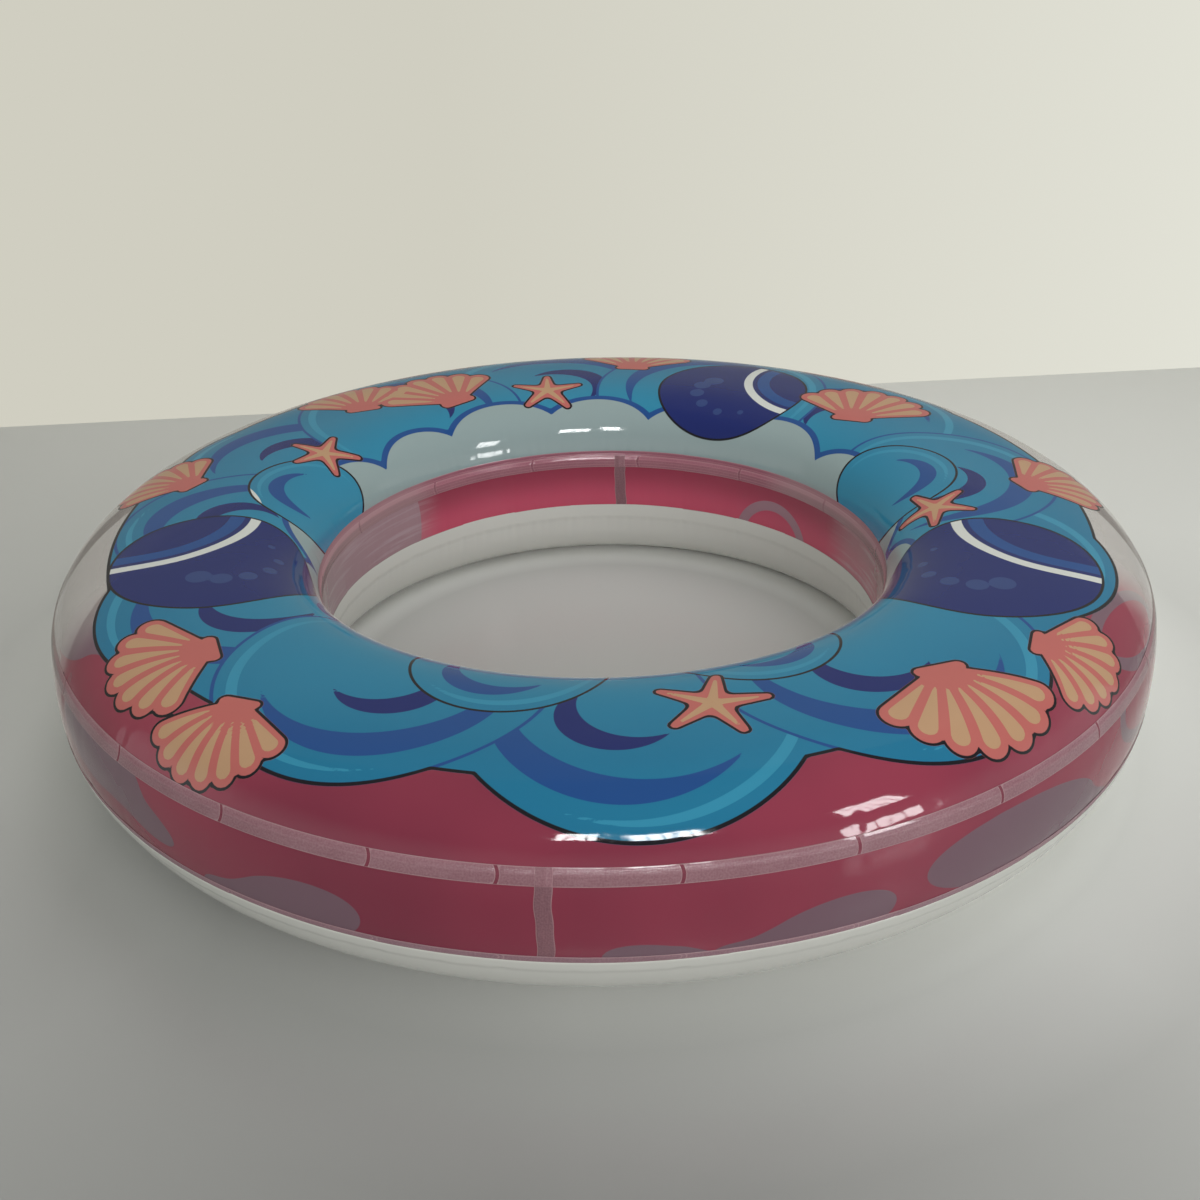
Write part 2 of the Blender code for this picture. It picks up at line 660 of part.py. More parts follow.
def make_ring(section):
    """The four films and the six welds. Returns the underside, which the valve goes through."""
    gap = FILM_EDGE_GAP / 2
    seams = section.seams
    film_panel("top_panel", section, seams["outer_top"] + gap, seams["inner_top"] - gap,
               "printed_top_film")
    film_panel("inner_side_band", section, seams["inner_top"] + gap, seams["inner_bottom"] - gap,
               "printed_side_film", INNER_JOINT_ANGLE)
    underside = film_panel("bottom_panel", section, seams["inner_bottom"] + gap,
                           seams["outer_bottom"] - gap, "white_film")
    film_panel("outer_side_band", section, seams["outer_bottom"] + gap, seams["outer_top"] - gap,
               "printed_side_film", OUTER_JOINT_ANGLE)
    round_weld("outer_top_weld", section, "outer_top", "clear_weld")
    round_weld("inner_top_weld", section, "inner_top", "clear_weld")
    round_weld("inner_bottom_weld", section, "inner_bottom", "white_weld")
    round_weld("outer_bottom_weld", section, "outer_bottom", "white_weld")
    upright_weld("inner_band_joint", section, "inner_top", "inner_bottom", INNER_JOINT_ANGLE, "clear_weld")
    seams["outer_bottom_below"] = seams["outer_bottom"] - section.length
    upright_weld("outer_band_joint", section, "outer_bottom_below", "outer_top",
                 OUTER_JOINT_ANGLE, "clear_weld")
    return underside


def make_valve(section, underside):
    """The valve's seven pieces, in the frame of its axis."""
    frame, s_middle = valve_frame(section)
    bpy.context.view_layer.update()
    cut_valve_hole(underside, frame)
    make_valve_base(section, s_middle, frame)
    make_insert(frame)
    make_seal("valve_insert_seal", PLUG_RADIUS + THREAD_PLAY, NECK_OUTER_RADIUS - THREAD_PLAY,
              SEAL_BOTTOM, frame)
    make_flap(frame)
    make_cap(frame)
    make_seal("valve_cap_seal", INSERT_BORE_RADIUS, CAP_BORE_RADIUS - THREAD_PLAY, CAP_SEAL_BOTTOM, frame)
    make_tether(frame)


def main():
    """Builds the whole ring."""
    clear_scene()
    section = TubeSection()
    underside = make_ring(section)
    make_valve(section, underside)


main()
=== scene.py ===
"""Looks of the inflatable swim ring: printed and white vinyl film, knurled welds and a screw valve.

The films and welds are soft, so each is drawn again here as a smooth, finely divided skin that
stands for its CAD node. The valve's hard pieces keep their CAD shape and get their finish here.
Lengths are in metres. Pattern sizes, whose names end in mm, are in millimetres, and were matched to
the photograph. Angles in fields are in degrees round the ring from +X, and angles of points
are in radians.
"""

import logging
from cmath import rect
from dataclasses import dataclass, field
from enum import Enum
from math import cos, pi, radians, sin, sqrt
from typing import Iterable, Sequence

import bpy
import numpy as np
from mathutils import Matrix, Vector

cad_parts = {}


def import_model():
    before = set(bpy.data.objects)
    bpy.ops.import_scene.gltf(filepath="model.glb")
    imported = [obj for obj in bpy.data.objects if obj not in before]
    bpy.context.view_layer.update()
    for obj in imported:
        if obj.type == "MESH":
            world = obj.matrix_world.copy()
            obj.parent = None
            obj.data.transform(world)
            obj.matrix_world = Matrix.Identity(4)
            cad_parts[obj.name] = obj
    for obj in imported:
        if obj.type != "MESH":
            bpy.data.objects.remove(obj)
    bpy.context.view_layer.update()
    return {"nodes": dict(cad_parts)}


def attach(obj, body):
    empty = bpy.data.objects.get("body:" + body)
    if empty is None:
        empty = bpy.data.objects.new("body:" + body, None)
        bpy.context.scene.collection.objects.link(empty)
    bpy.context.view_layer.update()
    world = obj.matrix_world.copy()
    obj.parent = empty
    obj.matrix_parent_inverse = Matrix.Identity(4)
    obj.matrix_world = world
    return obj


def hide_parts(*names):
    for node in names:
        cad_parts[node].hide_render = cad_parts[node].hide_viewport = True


LOG = logging.getLogger("swim_ring")
TAU = 2 * pi
FAR = 9.0
NOISE_SPAN = (0.35, 0.65)
RUB_SPAN = (0.35, 0.75)

Array = np.ndarray
Tree = bpy.types.NodeTree
Node = bpy.types.Node
Socket = bpy.types.NodeSocket
Feed = Socket | Node | float | tuple
Finish = bpy.types.Material
Piece = bpy.types.Object
Pieces = dict[str, list[Piece]]
Pair = tuple[float, float]
Place = tuple[float, float, float]


def linear(code: str) -> tuple[float, float, float, float]:
    """Turns an sRGB hex colour into linear values.

    Args:
        code: Colour such as "#8A2F4A".

    Returns:
        Red, green, blue and an alpha of 1.
    """
    parts = [int(code[k:k + 2], 16) / 255 for k in (1, 3, 5)]
    return (*[c / 12.92 if c <= 0.04045 else ((c + 0.055) / 1.055) ** 2.4 for c in parts], 1.0)


def smooth_share(value: Array, low: float, high: float) -> Array:
    """Share from 0 at low to 1 at high, with soft ends.

    Args:
        value: Numbers to be turned.
        low: Where the share is 0.
        high: Where it is 1.

    Returns:
        The shares.
    """
    share = np.clip((value - low) / (high - low), 0.0, 1.0)
    return share * share * (3 - 2 * share)


def per_metre(size: float) -> float:
    """Scale of a pattern whose repeat has a size in millimetres."""
    return 1000 / size


def polar(reach: float, degrees: float, start: complex = 0j) -> complex:
    """Point of the flat plane at a distance and an angle from start, as x + iy."""
    return start + rect(reach, radians(degrees))


class Seam(Enum):
    """The four round seams of the tube."""

    OUTER_TOP = "outer_top"
    INNER_TOP = "inner_top"
    INNER_BOTTOM = "inner_bottom"
    OUTER_BOTTOM = "outer_bottom"


@dataclass
class TubeSection:
    """Section of the inflated tube, measured along the film from its widest line upwards."""

    outer_radius: float = 1.000
    width: float = 0.472
    equator: float = 0.192
    crown: float = 0.182
    upper_fullness: float = 3.0
    lower_outer_fullness: float = 2.2
    lower_inner_fullness: float = 5.0
    floor_flattening: float = 0.0015
    outer_band_up: float = 0.093
    outer_band_down: float = 0.047
    inner_band_up: float = 0.050
    inner_band_down: float = 0.068
    steps: int = 16000
    table_rows: int = 4001
    slope_reach: float = 0.002

    def __post_init__(self) -> None:
        """Tabulates the section by length along the film."""
        turn = np.linspace(0, TAU, self.steps + 1)
        c, s = np.cos(turn), np.sin(turn)
        lower = np.where(c >= 0, self.lower_outer_fullness, self.lower_inner_fullness)
        fullness = np.where(s >= 0, self.upper_fullness, lower)
        reach = np.where(s >= 0, self.crown, self.equator + self.floor_flattening)
        self.centre = self.outer_radius - self.width / 2
        radius = self.centre + np.sign(c) * np.abs(c) ** (2 / fullness) * self.width / 2
        height = np.maximum(self.equator + np.sign(s) * np.abs(s) ** (2 / fullness) * reach, 0.0)
        length = np.concatenate([[0.0], np.cumsum(np.hypot(np.diff(radius), np.diff(height)))])
        self.length = float(length[-1])
        self.table_s = np.linspace(0, self.length, self.table_rows)
        self.table_r = np.interp(self.table_s, length, radius)
        self.table_z = np.interp(self.table_s, length, height)
        inner_equator = float(length[self.steps // 2])
        self.crown_s = float(length[self.steps // 4])
        self.seams = {
            Seam.OUTER_TOP: self.outer_band_up,
            Seam.INNER_TOP: inner_equator - self.inner_band_up,
            Seam.INNER_BOTTOM: inner_equator + self.inner_band_down,
            Seam.OUTER_BOTTOM: self.length - self.outer_band_down,
        }

    def at(self, s: Array, offset: float | Array = 0.0) -> tuple[Array, Array]:
        """Points of the section.

        Args:
            s: Lengths along the film.
            offset: How far outside the film's face the points lie.

        Returns:
            Radii and heights.
        """
        s = np.asarray(s, float) % self.length
        below, above = (s - self.slope_reach) % self.length, (s + self.slope_reach) % self.length
        dr, dz = (np.interp(above, self.table_s, table) - np.interp(below, self.table_s, table)
                  for table in (self.table_r, self.table_z))
        size = np.hypot(dr, dz)
        return (np.interp(s, self.table_s, self.table_r) + dz / size * offset,
                np.interp(s, self.table_s, self.table_z) - dr / size * offset)

    def wrap(self, s: Array, angle: Array, offset: float | Array = 0.0) -> Array:
        """Points of the tube's surface, one row each.

        Args:
            s: Lengths along the film.
            angle: Angles round the ring, in radians, of the same shape.
            offset: How far outside the film's face the points lie.

        Returns:
            Rows of x, y and z.
        """
        r, z = self.at(s, offset)
        return np.stack([r * np.cos(angle), r * np.sin(angle), np.maximum(z, 0.0)], -1).reshape(-1, 3)


@dataclass(frozen=True)
class Strikes:
    """Strikes of the electrode round a weld: the first one's angle, the step, and how many."""

    first: float = -98.5
    step: float = 13.99
    count: int = 25

    def turns(self, angle: Array) -> Array:
        """Angles measured from the first strike, in strikes."""
        return (angle - radians(self.first)) / radians(self.step)


@dataclass(frozen=True)
class Puckers:
    """Fine creases that run away from a seam where flat film is drawn into a curve."""

    depth: float = 0.0016
    reach: float = 0.021
    waves: tuple[int, ...] = (53, 71, 97, 131, 173)
    swell_waves: int = 7
    swell: float = 0.8
    least: float = 0.2
    strikes: Strikes = Strikes()
    dimple: float = 0.0016
    dimple_degrees: float = 0.6
    seed: int = 7

    def sink(self, angle: Array, away: Array) -> Array:
        """How far the film sinks.

        Args:
            angle: Angles round the ring, in radians.
            away: Distance from the seam along the film.

        Returns:
            Depths, 0 or more.
        """
        rng = np.random.default_rng(self.seed)
        total = np.zeros_like(angle)
        for count in self.waves:
            total += np.sin(count * angle + rng.uniform(0, TAU)) * rng.uniform(0.6, 1.0)
        total += self.swell * np.sin(self.swell_waves * angle + rng.uniform(0, TAU))
        creases = np.clip(total / len(self.waves), -self.least, 1.0) + self.least
        step = radians(self.strikes.step)
        turn = (angle - radians(self.strikes.first)) % TAU
        nearest = step * np.clip(np.round(turn / step), 0, self.strikes.count)
        off = np.minimum(np.abs(turn - nearest), TAU - turn)
        dimples = np.exp(-(off / radians(self.dimple_degrees)) ** 2)
        return (self.depth * creases + self.dimple * dimples) * np.exp(-np.abs(away) / self.reach)


# Nodes and materials


def feed(socket: Socket, value: Feed | None) -> None:
    """Gives an input its value or its link.

    Args:
        socket: The input.
        value: A value, the socket or the node's first output that feeds it, or None to leave it.
    """
    if isinstance(value, Node):
        value = value.outputs[0]
    if isinstance(value, Socket):
        socket.id_data.links.new(value, socket)
    elif value is not None:
        socket.default_value = value


def add_node(tree: Tree, kind: str, *values: Feed | None, **named: object) -> Node:
    """Adds a node with its settings, values and links.

    Args:
        tree: Node tree that gets it.
        kind: Blender's name for the node type, with a colon and the operation where it has one.
        values: What feeds each input, in order.
        named: Settings under their own names, and what feeds inputs under theirs. An input's name
            starts with a capital and has an underscore for each space.

    Returns:
        The node.
    """
    kind, _, operation = kind.partition(":")
    node = tree.nodes.new(kind)
    if operation:
        node.operation = operation
    for name in [name for name in named if name[0].islower()]:
        setattr(node, name, named.pop(name))
    for place, value in [*enumerate(values), *named.items()]:
        feed(node.inputs[place.replace("_", " ") if isinstance(place, str) else place], value)
    return node


@dataclass
class Paint:
    """One material's node tree while it is being put together."""

    name: str

    def __post_init__(self) -> None:
        """Makes the material with a Principled shader, and reads the piece's own coordinates."""
        self.material = bpy.data.materials.new(self.name)
        self.material.use_nodes = True
        self.tree = self.material.node_tree
        self.shader = self.tree.nodes["Principled BSDF"]
        self.place = self.add("TexCoord").outputs["Object"]

    def add(self, kind: str, *values: Feed | None, **named: object) -> Node:
        """Adds a shader node to this material, as add_node does."""
        return add_node(self.tree, f"ShaderNode{kind}", *values, **named)

    def set(self, **named: Feed) -> None:
        """Feeds the shader's inputs, with an underscore for each space in a name."""
        for name, value in named.items():
            feed(self.shader.inputs[name.replace("_", " ")], value)

    def inside(self, shape: str, edge: float = 0.0, soft: float = 0.0005) -> Node:
        """Share that is 1 where a shape's stored distance is under edge, and 0 where it is over."""
        distance = self.add("Attribute", attribute_name=shape).outputs["Fac"]
        return self.add("MapRange", distance, edge + soft, edge - soft)

    def outline(self, shape: str, half: float, soft: float = 0.0005) -> Node:
        """Share that is 1 within half of a stored shape's edge."""
        off = self.add("Math:ABSOLUTE", self.add("Attribute", attribute_name=shape).outputs["Fac"])
        return self.add("MapRange", off, half + soft, half - soft)

    def lay(self, ground: Feed | str, *inks: tuple[Feed, Feed | str]) -> Feed:
        """Lays inks one after another over a ground.

        Args:
            ground: Its colour, as a hex code or what feeds it.
            inks: For each ink, the share that it covers and its colour.

        Returns:
            The colour with all of them.
        """
        for share, ink in inks:
            mix = self.add("Mix", share, data_type="RGBA")
            for place, colour in ((6, ground), (7, ink)):
                feed(mix.inputs[place], linear(colour) if isinstance(colour, str) else colour)
            ground = mix.outputs[2]
        return ground

    def relief(self, *layers: tuple[Feed, float]) -> Node:
        """Lays height fields over each other.

        Args:
            layers: For each, its heights from 0 to 1 and its depth in metres.

        Returns:
            The node with the normals of all of them.
        """
        normal = None
        for height, depth in layers:
            normal = self.add("Bump", Height=height, Distance=depth, Normal=normal)
        return normal


@dataclass(frozen=True)
class Inks:
    """Colours of the print, as gravure inks on clear film."""

    # The crimsons' green and blue are raised a little for a painted sheen, the film's milky reflection.
    crimson: str = "#9A3A50"
    crimson_deep: str = "#853046"
    azure: str = "#1D7498"
    azure_light: str = "#338DAD"
    mid_blue: str = "#1D4B8A"
    navy: str = "#1A2768"
    spot: str = "#2F4379"
    foam: str = "#94A5A6"
    white: str = "#D5D8D4"
    coral: str = "#BC6762"
    peach: str = "#BC9674"
    black: str = "#15121A"
    haze: str = "#80616F"
    clear: str = "#D8CFCB"


@dataclass(frozen=True)
class PrintedFilm:
    """Clear calendered vinyl, gravure printed, 0.45 mm: glossy, see-through where there is no ink."""

    name: str
    sea: bool = False
    graded: bool = False
    inks: Inks = Inks()
    outline: float = 0.0030
    fine_outline: float = 0.0024
    foam_rim: float = 0.013
    ink_cover: float = 0.90
    haze_cover: float = 0.82
    clear_cover: float = 0.40
    sea_cover: float = 0.985
    tint_mm: float = 1000 / 2.2
    shade_mm: float = 1000 / 2.5
    wave_mm: float = 1000 / 7
    wave_depth: float = 0.0014
    dent_mm: float = 1000 / 45
    dent_depth: float = 0.00005
    rub_mm: float = 1000 / 120
    rough: Pair = (0.035, 0.085)
    sheen: Pair = (0.35, 0.90)
    streak_mm: Pair = (1000 / 5, 1000 / 90)
    reflection_streak_strength: float = 1.3

    def build(self) -> Finish:
        """Makes the material.

        Returns:
            The material, which reads the print's distance fields from the mesh.
        """
        p = Paint(self.name)
        ink = self.inks
        # On the hole's side the ground runs from deep crimson at the top to lighter crimson at the
        # bottom: painted shade.
        if self.graded:
            tint = p.add("Attribute", attribute_name="low").outputs["Fac"]
        else:
            clouds = p.add("TexNoise", p.place, Scale=per_metre(self.tint_mm))
            tint = p.add("MapRange", clouds, *NOISE_SPAN)
        haze = p.inside("haze", soft=0.0007)
        fade = p.add("Attribute", attribute_name="fade").outputs["Fac"]
        colour = p.lay(ink.crimson_deep, (tint, ink.crimson), (haze, ink.haze), (fade, ink.clear))
        inked = p.add("Mix", haze, None, self.ink_cover, self.haze_cover)
        cover = p.add("Mix", fade, None, inked, self.clear_cover)
        if self.graded:
            colour = self.paint_reflection_streaks(p, colour, fade)
        if self.sea:
            colour, cover = self.paint_sea(p, colour, cover)
        # A calendered sheet is flat to the eye but waves a little over a hand's width, and its gloss
        # is broken by faint rubs. Seen along its face it looks milky, as plasticised vinyl does.
        waves = p.add("TexNoise", p.place, Scale=per_metre(self.wave_mm))
        dents = p.add("TexNoise", p.place, Scale=per_metre(self.dent_mm))
        rubs = p.add("TexNoise", p.place, Scale=per_metre(self.rub_mm))
        facing = p.add("LayerWeight", Blend=0.5).outputs["Facing"]
        p.set(Base_Color=colour, Alpha=cover, IOR=1.54,
              Roughness=p.add("MapRange", rubs, *RUB_SPAN, *self.rough),
              Normal=p.relief((waves, self.wave_depth), (dents, self.dent_depth)),
              Sheen_Weight=p.add("MapRange", facing, 0.80, 0.97, *self.sheen), Sheen_Roughness=0.18,
              Sheen_Tint=linear("#DCD2CE"))
        return p.material

    def paint_reflection_streaks(self, p: Paint, colour: Feed, fade: Feed) -> Feed:
        """Lays long pale streaks over the parts with little ink: painted reflections of the puckered
        film.

        Args:
            p: Material being made.
            colour: Colour of the film.
            fade: Share of ink left out.

        Returns:
            The colour with the painted reflections.
        """
        drawn = p.add("Mapping", p.add("UVMap", uv_map="metres"),
                      Scale=(*map(per_metre, self.streak_mm), 1.0))
        streaks = p.add("MapRange", p.add("TexNoise", drawn, Scale=1.0, Detail=3.0), 0.50, 0.70)
        bare = p.add("Math:MULTIPLY", fade, self.reflection_streak_strength)
        # The pale streaks are painted reflections of puckered film, not marks in the sheet.
        return p.lay(colour, (p.add("Math:MULTIPLY", streaks, bare), "#DCC4CA"))

    def paint_sea(self, p: Paint, colour: Feed, cover: Feed) -> tuple[Feed, Feed]:
        """Lays the sea print over the ground, from the back row of waves to the scallops.

        Args:
            p: Material being made.
            colour: Ground colour.
            cover: Ground cover.

        Returns:
            Colour and cover with the print on it.
        """
        ink, fine = self.inks, self.fine_outline
        clouds = p.add("TexNoise", p.place, Scale=per_metre(self.shade_mm), Detail=1.0)
        depth = p.add("Attribute", attribute_name="depth").outputs["Fac"]
        shade = p.add("Math:MULTIPLY_ADD", clouds, 0.5, p.add("Math:SUBTRACT", depth, 0.25))
        azure = p.lay(ink.azure, (shade, ink.azure_light))
        wave = p.lay(azure, *((p.inside(shape), over) for shape, over in (
            ("front_light", ink.azure_light), ("dark", ink.navy), ("front_mid", ink.mid_blue),
            ("stripe", ink.white), ("bubble", ink.spot))))
        water = p.lay(azure, *((p.inside(shape), over) for shape, over in (
            ("back_light", ink.azure_light), ("back_mid", ink.mid_blue), ("back_navy", ink.navy))))
        water = p.lay(water, (p.outline("lap", self.outline), ink.mid_blue),
                      (p.inside("foam", self.foam_rim), ink.mid_blue), (p.inside("foam"), ink.foam),
                      (p.inside("crest"), wave), (p.outline("crest", fine), ink.black),
                      (p.outline("sea", self.outline), ink.black))
        creature = p.lay(ink.coral, (p.inside("rib"), ink.peach), (p.outline("shell", fine), ink.black))
        printed, body = p.inside("sea", self.outline), p.inside("shell", fine)
        full = p.add("Math:MULTIPLY", p.add("Math:MAXIMUM", printed, body), self.sea_cover)
        return p.lay(colour, (printed, water), (body, creature)), p.add("Math:MAXIMUM", cover, full)


@dataclass(frozen=True)
class WhiteFilm:
    """White calendered vinyl: opaque, smooth gloss, a little darker in blotches near the floor."""

    name: str = "white_vinyl_film"
    white: str = "#D5D5CF"
    floorward_tone: str = "#C0BEB5"
    floorward_height: float = 0.05
    floorward_share: float = 0.7
    wave_mm: float = 1000 / 7
    wave_depth: float = 0.0012
    rub_mm: float = 1000 / 110
    rough: Pair = (0.20, 0.27)

    def build(self) -> Finish:
        """Makes the material.

        Returns:
            The material.
        """
        p = Paint(self.name)
        # Pigment makes the sheet opaque and a little less glossy than the clear one.
        # Within a few centimetres of the floor the white turns darker in blotches.
        height = p.add("SeparateXYZ", p.place).outputs[2]
        low = p.add("MapRange", height, self.floorward_height, 0.0, 0.0, self.floorward_share)
        clouds = p.add("TexNoise", p.place, Scale=per_metre(self.wave_mm), Detail=4.0)
        floorward_dark = p.add("Math:MULTIPLY", low, p.add("MapRange", clouds, 0.35, 0.7))
        waves = p.add("TexNoise", p.place, Scale=per_metre(self.wave_mm))
        rubs = p.add("TexNoise", p.place, Scale=per_metre(self.rub_mm))
        p.set(Base_Color=p.lay(self.white, (floorward_dark, self.floorward_tone)), IOR=1.54,
              Roughness=p.add("MapRange", rubs, *RUB_SPAN, *self.rough),
              Normal=p.relief((waves, self.wave_depth)))
        return p.material


@dataclass(frozen=True)
class KnurledWeld:
    """Vinyl fused by a cross-cut electrode: milky, with a speckled diamond knurl and light rims."""

    name: str
    milk: str = "#A88189"
    shade: str = "#8C5E68"
    clear: str = "#B4A9A4"
    rim: str = "#C3A0A4"
    pitch: float = 0.0042
    depth: float = 0.00035
    grain_share: float = 0.6
    ridges: float = 0.0
    ridge_depth: float = 0.00015
    roll: float = 0.0
    upper_side: float = 1.0
    rough: float = 0.24
    lip: bool = False
    lip_rough: float = 0.06
    lip_edge: Pair = (0.0095, 0.0078)
    shoulder: float = 0.0128
    crest: float = 0.0040
    bend: float = 0.0085
    bend_share: float = 0.33
    foot: float = 0.0015
    speckle_mm: float = 1000 / 330
    streak_mm: Pair = (1000 / 24, 1000 / 300)
    patch_mm: float = 1000 / 13
    shares: tuple[float, float, float, float] = (0.42, 0.16, 0.24, 0.18)
    rim_width: Pair = (0.0013, 0.0006)
    clear_cover: float = 0.75

    def build(self) -> Finish:
        """Makes the material, whose knurl follows the weld's own UV map, in metres.

        Returns:
            The material.
        """
        p = Paint(self.name)
        # Fused vinyl is milky, and the electrode's teeth leave it speckled. The real pitch isn't known.
        # A fine one would be lost in the render, so knurl and speckle are as coarse as they need to be.
        uv = p.add("UVMap", uv_map="metres")
        u, v = p.add("SeparateXYZ", uv).outputs[:2]
        rising, falling = (
            p.add("Math:SINE", p.add("Math:MULTIPLY", p.add(f"Math:{way}", u, v), TAU / self.pitch))
            for way in ("ADD", "SUBTRACT"))
        diamonds = p.add("Math:MULTIPLY_ADD", p.add("Math:MULTIPLY", rising, falling), 0.5, 0.5)
        speckle = p.add("MapRange", p.add("TexNoise", uv, Scale=per_metre(self.speckle_mm)), 0.36, 0.64)
        drawn = p.add("Mapping", uv, Scale=(*map(per_metre, self.streak_mm), 1.0))
        streaks = p.add("MapRange", p.add("TexNoise", drawn, Scale=1.0), *NOISE_SPAN)
        patches = p.add("TexNoise", p.place, Scale=per_metre(self.patch_mm))
        patches = p.add("MapRange", patches, *NOISE_SPAN)
        first, second, third, fourth = self.shares
        share = p.add("Math:MULTIPLY_ADD", speckle, first, p.add("Math:MULTIPLY", streaks, second))
        rest = p.add("Math:MULTIPLY_ADD", patches, third, p.add("Math:MULTIPLY", diamonds, fourth))
        share = p.add("Math:ADD", share, rest)
        up = p.add("Math:MULTIPLY", v, self.upper_side)
        rough, knurl, grain = self.rough, diamonds, speckle
        if self.lip:
            # The electrode stops short of the lap's upper edge, which stays smooth and glints.
            struck = p.add("MapRange", up, *self.lip_edge)
            knurl = p.add("Math:MULTIPLY", diamonds, struck)
            grain = p.add("Math:MULTIPLY", speckle, struck)
            rough = p.add("Mix", struck, None, self.lip_rough, self.rough)
        layers = [(knurl, self.depth), (grain, self.depth * self.grain_share)]
        if self.ridges:
            wave = p.add("Math:SINE", p.add("Math:MULTIPLY", v, TAU / self.ridges))
            ridge = p.add("Math:POWER", p.add("Math:MULTIPLY_ADD", wave, 0.5, 0.5), 6.0)
            layers.append((ridge, self.ridge_depth))
            share = p.add("Math:MAXIMUM", p.add("Math:MULTIPLY", share, 0.7), ridge)
        if self.roll:
            layers.append((self.rounding(p, up), self.roll))
        fade, edge = (p.add("Attribute", attribute_name=name).outputs["Fac"] for name in ("fade", "rim"))
        edge = p.add("MapRange", edge, *self.rim_width, 0.0, 0.45)
        colour = p.lay(self.shade, (share, self.milk), (edge, self.rim),
                       (p.add("Math:MULTIPLY", fade, 0.85), self.clear))
        p.set(Base_Color=colour, Roughness=rough, IOR=1.5, Normal=p.relief(*layers),
              Alpha=p.add("Mix", fade, None, 1.0, self.clear_cover))
        return p.material

    def rounding(self, p: Paint, up: Feed) -> Feed:
        """Height of the weld's rounded edges, which catch the light.

        Args:
            p: Material being made.
            up: Distance above the weld's middle.

        Returns:
            Heights from 0 to 1.
        """
        crest = p.add("MapRange", up, self.shoulder, self.crest)
        if self.lip:
            low = p.add("MapRange", up, self.bend, self.crest, 0.0, 1 - self.bend_share)
            high = p.add("MapRange", up, self.shoulder, self.bend, 0.0, self.bend_share)
            crest = p.add("Math:ADD", high, low)
        return p.add("Math:MINIMUM", crest, p.add("MapRange", up, -self.shoulder, self.foot))


@dataclass(frozen=True)
class Moulding:
    """Injection-moulded piece of the valve: fine spark-eroded texture, satin."""

    name: str
    colour: str
    rough: float
    grain_mm: float = 1000 / 900
    grain_depth: float = 0.00005
    tone_mm: float = 1000 / 120

    def build(self) -> Finish:
        """Makes the material.

        Returns:
            The material.
        """
        p = Paint(self.name)
        # An eroded mould breaks up the gloss. Its grain is finer than the render can show, and is drawn
        # coarser. The valve isn't in the photograph, so its size is a guess.
        tone = p.add("TexNoise", p.place, Scale=per_metre(self.tone_mm))
        grain = p.add("TexNoise", p.place, Scale=per_metre(self.grain_mm))
        base = linear(self.colour)
        darker = (*[c * 0.9 for c in base[:3]], 1.0)
        p.set(Base_Color=p.lay(darker, (tone, base)), IOR=1.5,
              Roughness=p.add("MapRange", tone, 0.0, 1.0, self.rough - 0.05, self.rough + 0.06),
              Normal=p.relief((grain, self.grain_depth)))
        return p.material


# Meshes


def mesh_object(name: str, vertices: Array, faces: Iterable[Sequence[int]],
                material: Finish | None = None) -> Piece:
    """Makes a smooth mesh object at the origin.

    Args:
        name: Name of the piece.
        vertices: One row of x, y, z for each point, in metres.
        faces: Corner numbers of each face, counter-clockwise from outside.
        material: Its finish.

    Returns:
        The object.
    """
    mesh = bpy.data.meshes.new(name)
    mesh.from_pydata(np.asarray(vertices).tolist(), [], list(faces))
    mesh.shade_smooth()
    made = bpy.data.objects.new(name, mesh)
    bpy.context.scene.collection.objects.link(made)
    if material:
        mesh.materials.append(material)
    return made


def grid_faces(rows: int, columns: int, closed: bool, flip: bool = False) -> Array:
    """Quads of a grid whose points run along a row first.

    Args:
        rows: How many rows of points.
        columns: How many points in a row.
        closed: True where the last row meets the first.
        flip: True to turn the faces over.

    Returns:
        The corner numbers, one row for each face.
    """
    count = rows if closed else rows - 1
    row, column = np.meshgrid(np.arange(count), np.arange(columns - 1), indexing="ij")
    a = (row * columns + column).ravel()
    b = (((row + 1) % rows) * columns + column).ravel()
    quads = np.stack([a, b, b + 1, a + 1], 1)
    return quads[:, ::-1] if flip else quads


def store(made: Piece, **fields: Array) -> None:
    """Stores numbers for each point of a mesh.

    Args:
        made: Object that gets them.
        fields: The numbers, under their names.
    """
    for name, values in fields.items():
        layer = made.data.attributes.new(name, "FLOAT", "POINT")
        layer.data.foreach_set("value", np.asarray(values, np.float32).ravel())


def store_uv(made: Piece, u: Array, v: Array) -> None:
    """Stores a UV map in metres.

    Args:
        made: Object that gets it.
        u: First coordinate of each point of its mesh.
        v: Second coordinate of each point.
    """
    layer = made.data.uv_layers.new(name="metres")
    corners = np.empty(len(made.data.loops), np.int32)
    made.data.loops.foreach_get("vertex_index", corners)
    pairs = np.stack([np.asarray(u).ravel()[corners], np.asarray(v).ravel()[corners]], 1)
    layer.data.foreach_set("uv", pairs.astype(np.float32).ravel())


# The print. Points of the flat sheet are complex numbers, x + iy.


def disc(spots: Array, centre: complex, radius: float) -> Array:
    """Signed distance to a disc."""
    return np.abs(spots - centre) - radius


def oval(spots: Array, a: float, b: float, turn: float) -> Array:
    """Signed distance, near its edge, to an ellipse about the origin.

    Args:
        spots: Points of the sheet.
        a: Half length.
        b: Half width.
        turn: Angle of its length, in radians.

    Returns:
        Distances, under 0 inside.
    """
    level = spots * rect(1.0, -turn)
    near = np.hypot(level.real / a, level.imag / b)
    slope = np.hypot(level.real / a ** 2, level.imag / b ** 2)
    return near * (near - 1) / np.maximum(slope, 1e-6)


